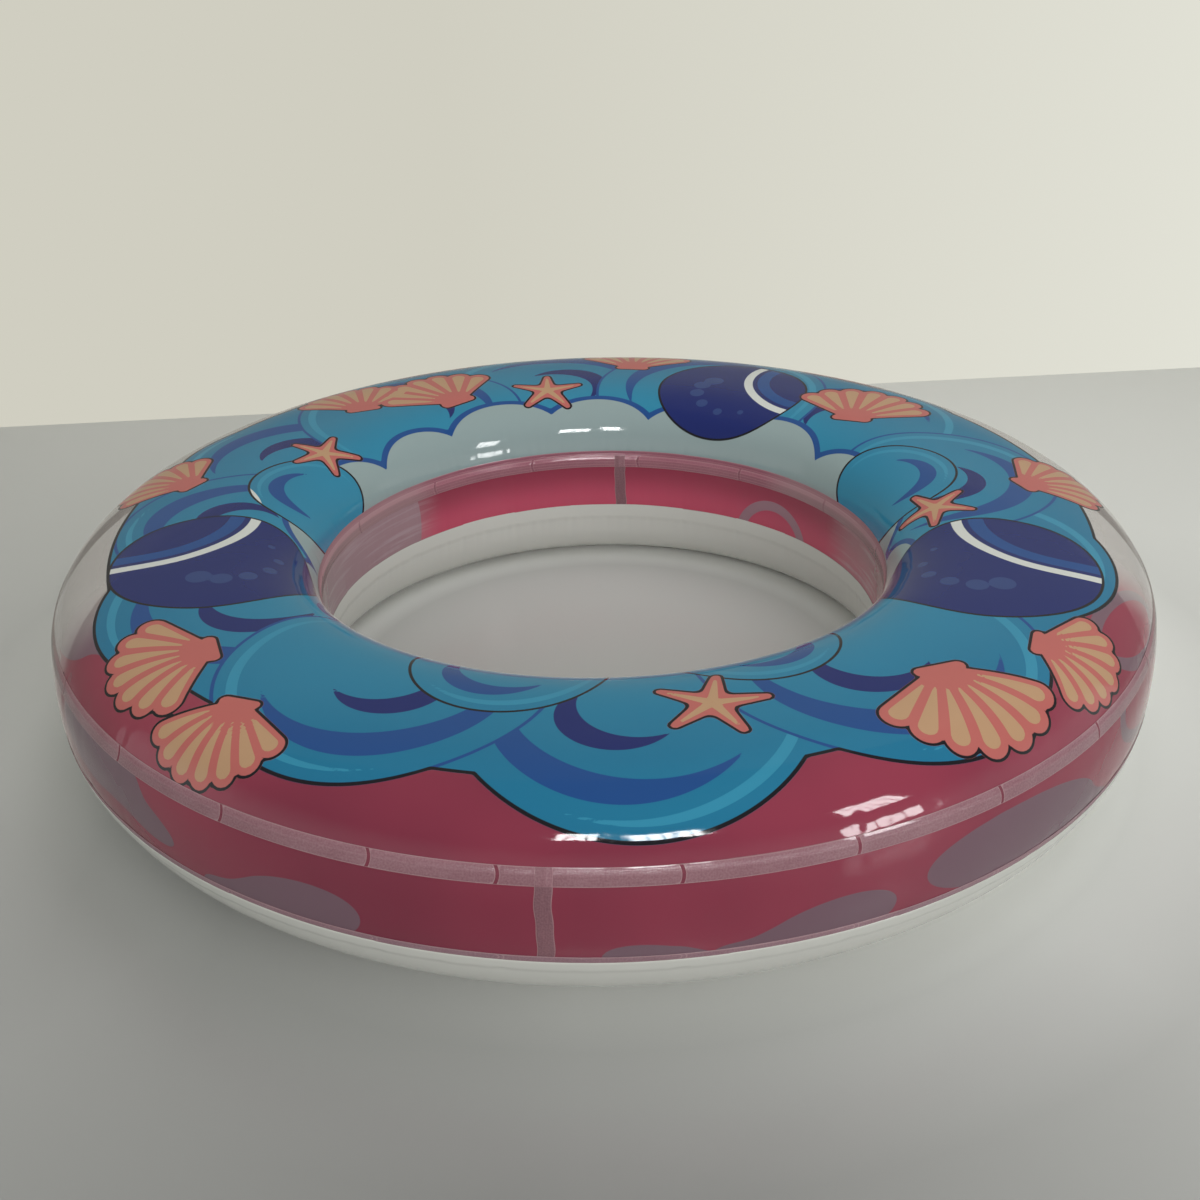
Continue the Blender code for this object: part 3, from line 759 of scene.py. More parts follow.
def taper(spots: Array, start: complex, end: complex, thin: float, thick: float) -> Array:
    """Signed distance to a finger with round ends.

    Args:
        spots: Points of the sheet.
        start: Middle of its first end.
        end: Middle of its other end.
        thin: Radius at start.
        thick: Radius at end.

    Returns:
        Distances, under 0 inside.
    """
    long = abs(end - start)
    level = (spots - start) * (end - start).conjugate() / long
    along, aside = level.real, np.abs(level.imag)
    lean = (thin - thick) / long
    rest = sqrt(max(1 - lean * lean, 1e-6))
    share = along * rest - aside * lean
    side = aside * rest + along * lean - thin
    ends = np.where(share < 0, np.hypot(aside, along) - thin, np.hypot(aside, along - long) - thick)
    return np.where((share < 0) | (share > rest * long), ends, side)


def melt(a: Array, b: Array, reach: float) -> Array:
    """Union of two signed distances, filleted over reach."""
    share = np.clip(0.5 + 0.5 * (b - a) / reach, 0.0, 1.0)
    return b + (a - b) * share - reach * share * (1 - share)


class Tone(Enum):
    """Ground colour of a wave."""

    AZURE = "azure"
    NAVY = "navy"


@dataclass(frozen=True)
class Wave:
    """One rounded wave: its place on the flat sheet, its size, its tone, and whether it laps others."""

    degrees: float
    out: float
    radius: float
    tone: Tone = Tone.AZURE
    over: bool = False

    @property
    def centre(self) -> complex:
        """Its centre on the flat sheet."""
        return polar(self.out, self.degrees)

    def moon(self, spots: Array, share: float, cut: float, lean: float, shift: float = 0.0) -> Array:
        """Signed distance to a crescent inside the wave, a disc less a slightly bigger one.

        Args:
            spots: Points of the sheet.
            share: Its radius, as a share of the wave's.
            cut: Its thickness, as a share of the wave's radius.
            lean: Direction of its thick side, in degrees from straight out.
            shift: How far its centre is moved that way, as a share of the wave's radius.

        Returns:
            Distances, under 0 inside.
        """
        middle = polar(shift * self.radius, self.degrees + lean, self.centre)
        other = polar(-cut * self.radius, self.degrees + lean, middle)
        radius = self.radius * share
        return np.maximum(disc(spots, middle, radius), -disc(spots, other, 1.01 * radius))


@dataclass(frozen=True)
class Scallop:
    """One fan-shaped shell: where its hinge is, which way it opens, and its length."""

    degrees: float
    out: float
    turn: float
    size: float
    ribs: int = 7
    spread: float = 0.92

    def fields(self, spots: Array) -> tuple[Array, Array]:
        """Draws the shell.

        Args:
            spots: Points of the sheet.

        Returns:
            Signed distances to its outline and to its ribs.
        """
        size, turn, hinge = self.size, radians(self.turn), polar(self.out, self.degrees)

        def spot(along: float, lean: float) -> complex:
            """Point at a share of the length, at an angle from the middle."""
            return hinge + rect(along * size, turn + lean)

        tip = 0.148 * size
        body = taper(spots, spot(0.16, 1.45), spot(0.16, -1.45), 0.075 * size, 0.075 * size)
        rib = np.full(spots.shape, FAR)
        for k in range(self.ribs):
            lean = self.spread * (2 * k / (self.ribs - 1) - 1)
            reach = 0.85 - 0.09 * lean ** 2
            body = np.minimum(body, taper(spots, spot(0.05, lean), spot(reach, lean), 0.05 * size, tip))
            groove = taper(spots, spot(0.30, lean), spot(reach - 0.02, lean), 0.012 * size, tip * 0.52)
            rib = np.minimum(rib, groove)
        return body, rib


@dataclass(frozen=True)
class SeaStar:
    """One five-armed starfish."""

    degrees: float
    out: float
    turn: float
    size: float
    arms: int = 5

    def fields(self, spots: Array) -> tuple[Array, Array]:
        """Draws the starfish.

        Args:
            spots: Points of the sheet.

        Returns:
            Signed distances to its outline and to the light stripes along its arms.
        """
        size, centre = self.size, polar(self.out, self.degrees)
        body = stripe = np.full(spots.shape, FAR)
        for k in range(self.arms):
            near, far, tip = (polar(share * size, self.turn + 360 / self.arms * k, centre)
                              for share in (0.10, 0.74, 0.88))
            arm = taper(spots, centre, tip, 0.25 * size, 0.10 * size)
            body = melt(body, arm, 0.14 * size) if k else arm
            stripe = np.minimum(stripe, taper(spots, near, far, 0.085 * size, 0.028 * size))
        return body, stripe


@dataclass(frozen=True)
class Blob:
    """One big pale shape of the ground print, or a ring: its place, half length and half width."""

    degrees: float
    middle: float
    long: float
    wide: float
    ring: bool = False
    ring_half: float = 0.011

    def distance(self, spots: Array, number: int) -> Array:
        """Draws the shape, leaning by its number.

        Args:
            spots: Points of the sheet, from the shape's own middle.
            number: Its place among its neighbours, from 0.

        Returns:
            Signed distances.
        """
        lean = 0.22 * sin(2.4 * number)
        head = oval(spots, self.long, self.wide, lean)
        if self.ring:
            return np.abs(head) - self.ring_half
        side = -1 if number % 2 else 1
        tail = spots - complex(side * self.long * 0.85, -self.wide * 0.5)
        return melt(head, oval(tail, self.long * 0.7, self.wide * 0.55, lean - 0.3), self.wide * 0.6)


def ground_print(angle: Array, up: Array, radius: float, blobs: Iterable[Blob]) -> Array:
    """Draws the pale shapes of the ground print.

    Args:
        angle: Angles round the ring, in radians.
        up: Distances across the sheet.
        radius: Radius that turns angles into distances.
        blobs: The shapes.

    Returns:
        Signed distances.
    """
    haze = np.full(up.shape, FAR)
    for k, blob in enumerate(blobs):
        along = ((angle - radians(blob.degrees) + pi) % TAU - pi) * radius
        haze = np.minimum(haze, blob.distance(along + 1j * (up - blob.middle), k))
    return haze


def side_fade(angle: Array, right_middle: float = 12.0) -> Array:
    """Share of ink left out round the two sides of the ring, where the ground fades to clear.

    Args:
        angle: Angles round the ring, in radians.
        right_middle: Middle of the right side's clear part, in degrees.

    Returns:
        Shares from 0 to 1.
    """
    run = 12.0
    return np.maximum(*(
        smooth_share(np.cos(angle - radians(middle)), cos(radians(reach)), cos(radians(reach - run)))
        for middle, reach in ((right_middle, 38.0), (170.0, 40.0))))


@dataclass
class SeaPrint:
    """Generic print of rounded waves, bubbles, scallops and starfish on the flat top panel.

    It is drawn on the panel as it is cut, a flat annulus, in metres from its centre. Each field
    is a signed distance in metres, so edges stay sharp between the points of the mesh.
    """

    back_waves: tuple[Wave, ...] = (
        Wave(-148, 0.66, 0.275), Wave(-118, 0.69, 0.258, over=True), Wave(-87, 0.72, 0.262),
        Wave(-55, 0.70, 0.268, over=True), Wave(-22, 0.66, 0.262), Wave(8, 0.64, 0.235, over=True),
        Wave(38, 0.66, 0.245), Wave(68, 0.68, 0.256, over=True), Wave(98, 0.67, 0.262),
        Wave(128, 0.66, 0.245, over=True), Wave(157, 0.65, 0.250), Wave(-175, 0.65, 0.235, over=True),
    )
    front_waves: tuple[Wave, ...] = (
        Wave(-163, 0.70, 0.185, Tone.NAVY), Wave(-24, 0.71, 0.190, Tone.NAVY),
        Wave(64, 0.69, 0.165, Tone.NAVY), Wave(-104, 0.595, 0.150), Wave(-66, 0.565, 0.135),
        Wave(14, 0.575, 0.135), Wave(166, 0.570, 0.130),
    )
    creatures: tuple[Scallop | SeaStar, ...] = (
        Scallop(-139, 0.80, -160, 0.175), Scallop(-128, 0.86, -112, 0.155),
        Scallop(-52, 0.80, -72, 0.190), Scallop(-40, 0.86, -20, 0.150), SeaStar(-78, 0.73, 10, 0.092),
        Scallop(3, 0.80, 20, 0.160), Scallop(38, 0.68, 62, 0.190), Scallop(84, 0.78, 80, 0.170),
        SeaStar(100, 0.66, 20, 0.085), Scallop(118, 0.66, 130, 0.190), Scallop(134, 0.74, 112, 0.170),
        Scallop(171, 0.80, 150, 0.160), SeaStar(-2, 0.62, 40, 0.080), SeaStar(152, 0.64, 12, 0.080),
    )
    foam_discs: int = 17
    foam_out: float = 0.487
    sea_reach: float = 0.885
    haze_out: float = 0.96
    haze: tuple[Blob, ...] = (
        Blob(-158, 0.955, 0.13, 0.045), Blob(-28, 0.965, 0.12, 0.050, True),
        Blob(32, 0.960, 0.14, 0.045), Blob(74, 0.975, 0.10, 0.040),
        Blob(112, 0.965, 0.12, 0.045, True), Blob(150, 0.960, 0.12, 0.040),
    )

    def lay(self, name: str, shape: Array) -> None:
        """Adds a shape to a field."""
        self.made[name] = np.minimum(self.made[name], shape)

    def draw_back(self, wave: Wave, side: int) -> None:
        """Draws one wave of the back row.

        Args:
            wave: The wave.
            side: 1 or -1, for the side that its crescents lean to.
        """
        edge = disc(self.spots, wave.centre, wave.radius)
        self.lay("sea", edge)
        if wave.over:
            self.lay("lap", edge)
        for name, share, cut, lean, shift in (
                ("back_light", 0.92, 0.075, 52, 0.0), ("back_mid", 0.72, 0.20, -38, 0.10),
                ("back_navy", 0.34, 0.17, -50, 0.12)):
            self.made[name] = np.maximum(self.made[name], -edge)
            self.lay(name, wave.moon(self.spots, share, cut, lean * side, shift))

    def draw_front(self, wave: Wave, side: int) -> None:
        """Draws one wave of the front row.

        Args:
            wave: The wave.
            side: 1 or -1, for the side that its crescents or its stripe lean to.
        """
        edge = disc(self.spots, wave.centre, wave.radius)
        self.lay("crest", edge)
        if wave.tone is Tone.AZURE:
            self.lay("front_light", wave.moon(self.spots, 0.88, 0.10, 30 * side))
            self.lay("front_mid", wave.moon(self.spots, 0.56, 0.24, -30 * side, 0.16))
            return
        self.lay("dark", edge)
        arc = disc(self.spots, polar(1.35 * wave.radius, wave.degrees + 62 * side, wave.centre),
                   1.12 * wave.radius)
        self.lay("stripe", np.abs(arc) - 0.0095)
        self.lay("front_mid", np.maximum(np.abs(arc + 0.034) - 0.0135, edge))
        for n in range(6):
            reach, turn = wave.radius * (0.62 - 0.045 * n), (150 + 30 * n) * side
            middle = polar(reach, wave.degrees + turn, wave.centre)
            self.lay("bubble", disc(self.spots, middle, 0.007 + 0.0030 * n))

    def fields(self, angle: Array, out: Array) -> dict[str, Array]:
        """Draws the print.

        Args:
            angle: Angles round the ring, in radians.
            out: Radii on the flat annulus.

        Returns:
            Each field's name and its value at each point.
        """
        self.spots = out * np.exp(1j * angle)
        names = ("crest", "lap", "back_light", "back_mid", "back_navy", "front_light", "front_mid",
                 "stripe", "dark", "bubble", "shell", "rib")
        self.made = {name: np.full_like(out, FAR) for name in names}
        self.made |= {"sea": out - self.sea_reach, "foam": out - self.foam_out}
        for k, wave in enumerate(sorted(self.back_waves, key=lambda wave: wave.over)):
            self.draw_back(wave, 1 if k % 3 else -1)
        for k, wave in enumerate(self.front_waves):
            self.draw_front(wave, 1 if k % 2 else -1)
        for k in range(self.foam_discs):
            turn = TAU * k / self.foam_discs + 0.1
            swell = (0.5 + 0.5 * cos(turn - radians(98))) ** 2
            self.lay("foam", disc(self.spots, rect(self.foam_out, turn),
                                  0.064 + 0.052 * swell + 0.010 * (k % 3)))
        for creature in self.creatures:
            body, rib = creature.fields(self.spots)
            self.made["rib"] = np.where(body < self.made["shell"], rib, self.made["rib"])
            self.lay("shell", body)
        return {**self.made, "depth": np.clip(0.45 + (0.66 - out) * 2.4, 0.0, 1.0),
                "haze": ground_print(angle, out, self.haze_out, self.haze), "fade": side_fade(angle)}


# Sub-assemblies


@dataclass
class Films:
    """The four film panels of the tube."""

    section: TubeSection
    puckers: Puckers = field(default_factory=Puckers)
    hoops: int = 960
    edge: float = 0.0002
    held: Pair = (0.012, 0.020)
    outer_haze: tuple[Blob, ...] = (
        Blob(-142, 0.035, 0.15, 0.055), Blob(-116, -0.045, 0.11, 0.050),
        Blob(-86, -0.075, 0.085, 0.035), Blob(-73, -0.050, 0.105, 0.045),
        Blob(-54, -0.016, 0.18, 0.058), Blob(-30, 0.030, 0.13, 0.060, True),
        Blob(-5, -0.020, 0.16, 0.055), Blob(22, 0.020, 0.14, 0.050), Blob(48, -0.035, 0.15, 0.050),
        Blob(74, 0.030, 0.12, 0.055, True), Blob(100, -0.020, 0.16, 0.050),
        Blob(126, 0.025, 0.13, 0.050), Blob(152, -0.030, 0.15, 0.055),
        Blob(176, 0.020, 0.14, 0.050, True), Blob(-164, -0.025, 0.12, 0.050),
    )
    inner_haze: tuple[Blob, ...] = (
        Blob(180, 0.0, 0.396, 0.30), Blob(45, -0.078, 0.085, 0.085, True),
        Blob(-60, 0.01, 0.20, 0.05), Blob(-110, -0.02, 0.16, 0.05, True),
    )

    def skin(self, name: str, start: float, end: float, across: int, material: Finish,
             hole: "ValvePlace | None" = None, crowd: float = 0.0) -> tuple[Piece, Array, Array]:
        """Makes one panel as a smooth skin.

        Args:
            name: Name of the piece.
            start: Where it starts, along the film.
            end: Where it ends.
            across: How many points lie across it.
            material: Its finish.
            hole: Where a valve passes through it, if one does.
            crowd: How much its points crowd towards its edges, from 0 to 0.15.

        Returns:
            The object, and the angle and the length along the film of each of its points.
        """
        share = np.linspace(0, 1, across)
        share = share - crowd * np.sin(TAU * share)
        s = start + self.edge + (end - start - 2 * self.edge) * share
        a, l = np.meshgrid(np.arange(self.hoops) * TAU / self.hoops, s, indexing="ij")
        points = self.section.wrap(l, a, -self.sink(a, l))
        faces = grid_faces(self.hoops, across, True)
        if hole:
            faces = faces[~hole.takes(points)[faces].any(axis=1)]
        return mesh_object(name, points, faces.tolist(), material), a.ravel(), l.ravel()

    def sink(self, angle: Array, s: Array) -> Array:
        """How far the film sinks under its round form, with the places flat that a weld holds.

        Args:
            angle: Angles round the ring, in radians.
            s: Lengths along the film.

        Returns:
            Depths, 0 or more.
        """
        sink, hold = np.zeros_like(s), np.ones_like(s)
        for seam in self.section.seams.values():
            for lap in (-self.section.length, 0.0, self.section.length):
                away = s - seam - lap
                sink += self.puckers.sink(angle, away)
                hold = np.minimum(hold, smooth_share(np.abs(away), *self.held))
        return sink * hold

    def side_band(self, name: str, start: float, end: float, radius: float, upward: int, film: Finish,
                  blobs: tuple[Blob, ...], fade: float, right_middle: float) -> Piece:
        """Makes one printed side band.

        Args:
            name: Name of the piece.
            start: Where it starts, along the film.
            end: Where it ends.
            radius: Radius of its widest or narrowest line.
            upward: 1 where the length along the film grows upwards, or -1.
            film: Its finish.
            blobs: Pale shapes of its print.
            fade: How clear its sides become.
            right_middle: Middle of the right side's clear part, in degrees.

        Returns:
            The object.
        """
        band, a, l = self.skin(name, start, end, 27, film)
        up = (l - (start + end) / 2) * upward
        store_uv(band, a * radius, l)
        # low, the share towards a band's bottom, grades the hole's side for its painted shade.
        store(band, haze=ground_print(a, up, radius, blobs), fade=fade * side_fade(a, right_middle),
              low=smooth_share(-up, -0.045, 0.035))
        return band

    def build(self, valve: "ValvePlace") -> Pieces:
        """Makes the four panels.

        Args:
            valve: Where the valve passes through the underside.

        Returns:
            Each CAD node's name and the pieces that stand for it.
        """
        section, seams = self.section, self.section.seams
        top_film = PrintedFilm("printed_vinyl_film_top", sea=True).build()
        side_film = PrintedFilm("printed_vinyl_film_side").build()
        # The hole's side looks brighter than the other film in the photograph, and so are its inks:
        # painted light, for the light that comes through the film there.
        bright = Inks(crimson="#CC4D6A", crimson_deep="#9A324C", haze="#AA808E", clear="#DDB9C0")
        inner_film = PrintedFilm("printed_vinyl_film_inner", graded=True, inks=bright).build()
        top, a, l = self.skin("top_film", seams[Seam.OUTER_TOP], seams[Seam.INNER_TOP], 104, top_film)
        store(top, **SeaPrint().fields(a, section.centre + section.crown_s - l))
        outer = self.side_band("outer_side_film", seams[Seam.OUTER_BOTTOM] - section.length,
                               seams[Seam.OUTER_TOP], section.outer_radius, 1, side_film,
                               self.outer_haze, 1.0, 12.0)
        inner = self.side_band("inner_side_film", seams[Seam.INNER_TOP], seams[Seam.INNER_BOTTOM],
                               section.outer_radius - section.width, -1, inner_film,
                               self.inner_haze, 0.30, -10.0)
        under, _, _ = self.skin("underside_film", seams[Seam.INNER_BOTTOM], seams[Seam.OUTER_BOTTOM], 88,
                                WhiteFilm().build(), valve, 0.125)
        return {"top_panel": [top], "outer_side_band": [outer], "inner_side_band": [inner],
                "bottom_panel": [under, valve.weld(section)]}


@dataclass
class Welds:
    """The knurled laps: four round ones, struck in short lengths, and two upright ones."""

    section: TubeSection
    films: Films
    width: float = 0.027
    upright_width: float = 0.024
    lift: float = 0.0003
    thickness: float = 0.0005
    strike_lift: float = 0.0004
    crossing_lift: float = 0.0005
    crossing_inset: float = 0.0008
    strikes: Strikes = Strikes()
    short_strike: float = 10.25
    inner_strikes: Strikes = Strikes(55.0, 360.0 / 14, 14)
    inner_margin: float = 0.010
    gap: float = 0.0050
    bow: float = 0.0034
    stray: float = 0.0004
    lap_stray: float = 0.0011
    lap_reach: float = 0.014
    lap_lift: float = 0.0007
    crowding: float = 1.7
    thin: float = 0.00008
    dip: float = 0.0010
    run_out: Pair = (0.003, 0.0135)
    rim_drop: float = 0.00035
    rim_width: float = 0.0022
    upright_drop: float = 0.0006
    upright_rim: float = 0.002
    outer_joint: float = -95.0
    inner_joint: float = 85.0
    white_share: float = 0.63
    hoops: int = 1200

    def wander(self, angle: Array, size: float) -> Array:
        """How far a hand-laid edge strays, with a small step where each strike begins.

        Args:
            angle: Angles round the ring, in radians.
            size: Size of its longest sway.

        Returns:
            Distances along the film.
        """
        strike = np.floor(self.strikes.turns(angle))
        drift = 0.5 * np.sin(5 * angle + 1.3) + 0.3 * np.sin(17 * angle)
        return size * (drift + 0.6 * np.sin(strike * 2.4))

    def band(self, name: str, low: float, high: float, offset: float, material: Finish, stray: Pair,
             melts: int = 0) -> Piece:
        """Makes one closed band round the ring.

        Args:
            name: Name of the piece.
            low: Where it starts, along the film.
            high: Where it ends.
            offset: How far its outer face stands off the film.
            material: Its finish.
            stray: How far its two edges stray from a true circle.
            melts: -1 or 1 where its low or its high edge runs out flat and dips under the film.

        Returns:
            The object.
        """
        across = 17 if melts else 13
        angle = np.arange(self.hoops) * TAU / self.hoops
        share = np.linspace(0, 1, across)
        if melts:
            share = share ** self.crowding if melts < 0 else 1 - (1 - share) ** self.crowding
        share = np.concatenate([share, share[::-1], share[:1]])
        rise = np.full(len(share), offset)
        rise[[0, across - 1, -1]] -= self.thickness * 0.8
        rise[across:-1] = offset - self.thickness
        if melts:
            away = (share if melts < 0 else 1 - share) * (high - low)
            rise = self.thin + (rise - self.thin) * smooth_share(away, *self.run_out)
            rise -= self.dip * (1 - smooth_share(away, 0.0, self.run_out[0]))
        lows = low + self.wander(angle, stray[0])
        highs = high + self.wander(angle, stray[1])
        l = lows[:, None] + (highs - lows)[:, None] * share[None, :]
        a = np.repeat(angle[:, None], len(share), 1)
        rises = np.repeat(rise[None, :], self.hoops, 0)
        if melts:
            rises = rises - self.films.sink(a, l)
        faces = grid_faces(self.hoops, len(share), True).tolist()
        made = mesh_object(name, self.section.wrap(l, a, rises), faces, material)
        store_uv(made, a * self.section.outer_radius, l - (low + high) / 2)
        store(made, fade=side_fade(a), rim=np.minimum(l - lows[:, None], highs[:, None] - l))
        return made

    def pad(self, name: str, low: float, high: float, degrees: float, offset: float) -> Piece:
        """Makes one strike of the electrode, from an angle of 0.

        Args:
            name: Name of the piece.
            low: Where it starts, along the film.
            high: Where it ends.
            degrees: How much of the ring it takes, with the gap after it.
            offset: How far its face stands off the film.

        Returns:
            The object.
        """
        columns, rows = max(24, round(degrees * 3.2)), 9
        middle = (low + high) / 2
        radius = float(self.section.at(np.array([middle]))[0][0])
        u, l = np.meshgrid(np.linspace(0, 1, columns), np.linspace(low, high, rows), indexing="ij")
        bow = self.bow * (1 - ((l - middle) / ((high - low) / 2)) ** 2)
        run = radians(degrees) * radius - self.gap
        flat = u * run + bow * (u ** 6 + (1 - u) ** 6)
        edge = np.minimum(np.minimum(u, 1 - u) * run, np.minimum(l - low, high - l))
        rise = offset - self.rim_drop * (1 - smooth_share(edge, 0.0, self.rim_width))
        points = self.section.wrap(l, flat / radius, rise)
        made = mesh_object(name, points, grid_faces(columns, rows, False).tolist())
        store_uv(made, flat, l - middle)
        store(made, rim=edge)
        return made

    def repeat(self, name: str, pad: Piece, strikes: Strikes, material: Finish) -> Piece:
        """Sets copies of a strike round the ring with a node tree.

        Args:
            name: Name of the piece.
            pad: The strike.
            strikes: Where they go, and how many.
            material: Their finish.

        Returns:
            One plain mesh with all of them.
        """
        tree = bpy.data.node_groups.new(f"{name}_strikes", "GeometryNodeTree")
        kinds = {"Geometry": "Geometry", "Strikes": "Int", "First angle": "Float", "Angle step": "Float",
                 "Finish": "Material"}
        sockets = {
            label: tree.interface.new_socket(label, in_out="INPUT", socket_type=f"NodeSocket{kind}")
            for label, kind in kinds.items()}
        tree.interface.new_socket("Geometry", in_out="OUTPUT", socket_type="NodeSocketGeometry")
        given = tree.nodes.new("NodeGroupInput").outputs
        line = add_node(tree, "GeometryNodeMeshLine", Count=given["Strikes"], Offset=(0.0, 0.0, 0.0))
        angle = add_node(tree, "ShaderNodeMath:MULTIPLY_ADD", add_node(tree, "GeometryNodeInputIndex"),
                         given["Angle step"], given["First angle"])
        spread = add_node(tree, "GeometryNodeInstanceOnPoints", Points=line, Instance=given["Geometry"],
                          Rotation=add_node(tree, "ShaderNodeCombineXYZ", Z=angle).outputs[0])
        real = add_node(tree, "GeometryNodeRealizeInstances", spread)
        dressed = add_node(tree, "GeometryNodeSetMaterial", real, Material=given["Finish"])
        add_node(tree, "NodeGroupOutput", dressed)
        modifier = pad.modifiers.new("strikes", "NODES")
        modifier.node_group = tree
        values = {"Strikes": strikes.count, "First angle": radians(strikes.first),
                  "Angle step": radians(strikes.step), "Finish": material}
        for label, value in values.items():
            modifier[sockets[label].identifier] = value
        bpy.context.view_layer.update()
        mesh = bpy.data.meshes.new_from_object(pad.evaluated_get(bpy.context.evaluated_depsgraph_get()))
        mesh.name = name
        pad.modifiers.clear()
        bpy.data.objects.remove(pad)
        made = bpy.data.objects.new(name, mesh)
        bpy.context.scene.collection.objects.link(made)
        places = np.empty(len(mesh.vertices) * 3, np.float32)
        mesh.vertices.foreach_get("co", places)
        store(made, fade=side_fade(np.arctan2(places[1::3], places[0::3])))
        return made

    def round_weld(self, seam: Seam, base: Finish, struck: Finish,
                   lap: Finish | None = None) -> list[Piece]:
        """Makes one round weld: the fused band and the strikes on it.

        Args:
            seam: Which seam it closes.
            base: Finish of the band between strikes.
            struck: Finish of the strikes.
            lap: Finish of the white film that laps over the weld's lower part, if it does.

        Returns:
            Its pieces.
        """
        middle, name = self.section.seams[seam], f"{seam.value}_weld"
        low, high = middle - self.width / 2, middle + self.width / 2
        offset = self.lift + self.thickness
        margin = self.inner_margin if seam is Seam.INNER_TOP else 0.0
        pieces = [self.band(f"{name}_band", low - margin, high, offset, base, (self.stray, self.stray))]
        top_low, top_high = low + self.stray, high - self.stray
        if lap and seam is Seam.INNER_BOTTOM:
            return [*pieces, self.band(f"{name}_lap", low, high + self.lap_reach,
                                       offset + self.lap_lift, lap, (self.lap_stray, 0.0), 1)]
        if lap:
            top_low = low + self.white_share * self.width
            pieces.append(self.band(f"{name}_lap", low - self.lap_reach, top_low,
                                    offset + self.lap_lift, lap, (0.0, self.lap_stray), -1))
        last = self.strikes.first + self.strikes.count * self.strikes.step
        parts = [("strikes", self.strikes), ("short_strike", Strikes(last, self.short_strike, 1))]
        if seam is Seam.INNER_TOP:
            parts = [("strikes", self.inner_strikes)]
        for part, strikes in parts:
            pad = self.pad(part, top_low, top_high, strikes.step, offset + self.strike_lift)
            pieces.append(self.repeat(f"{name}_{part}", pad, strikes, struck))
        return pieces

    def patch(self, name: str, low: float, high: float, degrees: float, rise: float,
              material: Finish) -> Piece:
        """Makes one upright strip of fused film, laid by hand so that it sways a little.

        Args:
            name: Name of the piece.
            low: Where it starts, along the film.
            high: Where it ends.
            degrees: Its place round the ring.
            rise: How far its face stands off the film.
            material: Its finish.

        Returns:
            The object.
        """
        rows, columns = 48, 12
        l, w = np.meshgrid(np.linspace(low, high, rows), np.linspace(-0.5, 0.5, columns), indexing="ij")
        sway = 0.0010 * np.sin((l - low) * 55) + 0.0006 * np.sin((l - low) * 131)
        shift = w * self.upright_width + sway
        rim = (0.5 - np.abs(w)) * self.upright_width
        edge = np.minimum(rim, np.minimum(l - low, high - l) + 0.0008)
        height = rise - self.upright_drop * (1 - smooth_share(edge, 0.0, self.upright_rim))
        points = self.section.wrap(l, radians(degrees) + shift / self.section.at(l)[0], height)
        made = mesh_object(name, points, grid_faces(rows, columns, False, True).tolist(), material)
        store_uv(made, l, shift)
        store(made, fade=np.zeros(rows * columns), rim=rim)
        return made

    def build(self) -> Pieces:
        """Makes all six welds.

        Returns:
            Each CAD node's name and the pieces that stand for it.
        """
        seams, half = self.section.seams, self.width / 2
        ribbed = {"depth": 0.00005, "ridges": 0.0062, "roll": 0.0042, "upper_side": -1.0, "rough": 0.10}
        milky = KnurledWeld("knurled_vinyl_weld", depth=0.0002, roll=0.0033, rough=0.17, lip=True).build()
        glassy = KnurledWeld("ridged_vinyl_weld", "#B57E88", "#96586A", "#C29AA0", **ribbed).build()
        ground = KnurledWeld("smooth_vinyl_weld", "#86384A", "#702F3F", depth=0.0001, rough=0.15).build()
        margin = KnurledWeld("ridged_vinyl_margin", "#A36B78", "#8A4E5E", "#B58A92", **ribbed).build()
        mauve = KnurledWeld("milky_vinyl_margin", "#A3808A", "#8A6570", depth=0.0002).build()
        upright = KnurledWeld("upright_vinyl_weld", "#936870", "#76505A").build()
        white = WhiteFilm("white_vinyl_lap").build()
        made = {
            "outer_top_weld": self.round_weld(Seam.OUTER_TOP, ground, milky),
            "inner_top_weld": self.round_weld(Seam.INNER_TOP, margin, glassy),
            "outer_bottom_weld": self.round_weld(Seam.OUTER_BOTTOM, mauve, mauve, white),
            "inner_bottom_weld": self.round_weld(Seam.INNER_BOTTOM, mauve, mauve, white),
        }
        face = self.lift + self.thickness
        crossing = face + self.strike_lift + self.crossing_lift
        reach = half - self.crossing_inset
        outer_foot, outer_top = seams[Seam.OUTER_BOTTOM] - self.section.length, seams[Seam.OUTER_TOP]
        inner_top, inner_foot = seams[Seam.INNER_TOP], seams[Seam.INNER_BOTTOM]
        for node, low, high, top, degrees in (
                ("outer_band_joint", outer_foot, outer_top, outer_top, self.outer_joint),
                ("inner_band_joint", inner_top, inner_foot, inner_top, self.inner_joint)):
            made[node] = [
                self.patch(f"{node}_lap", low + half, high - half, degrees, face, upright),
                self.patch(f"{node}_crossing", top - reach, top + reach, degrees, crossing, milky)]
        return made


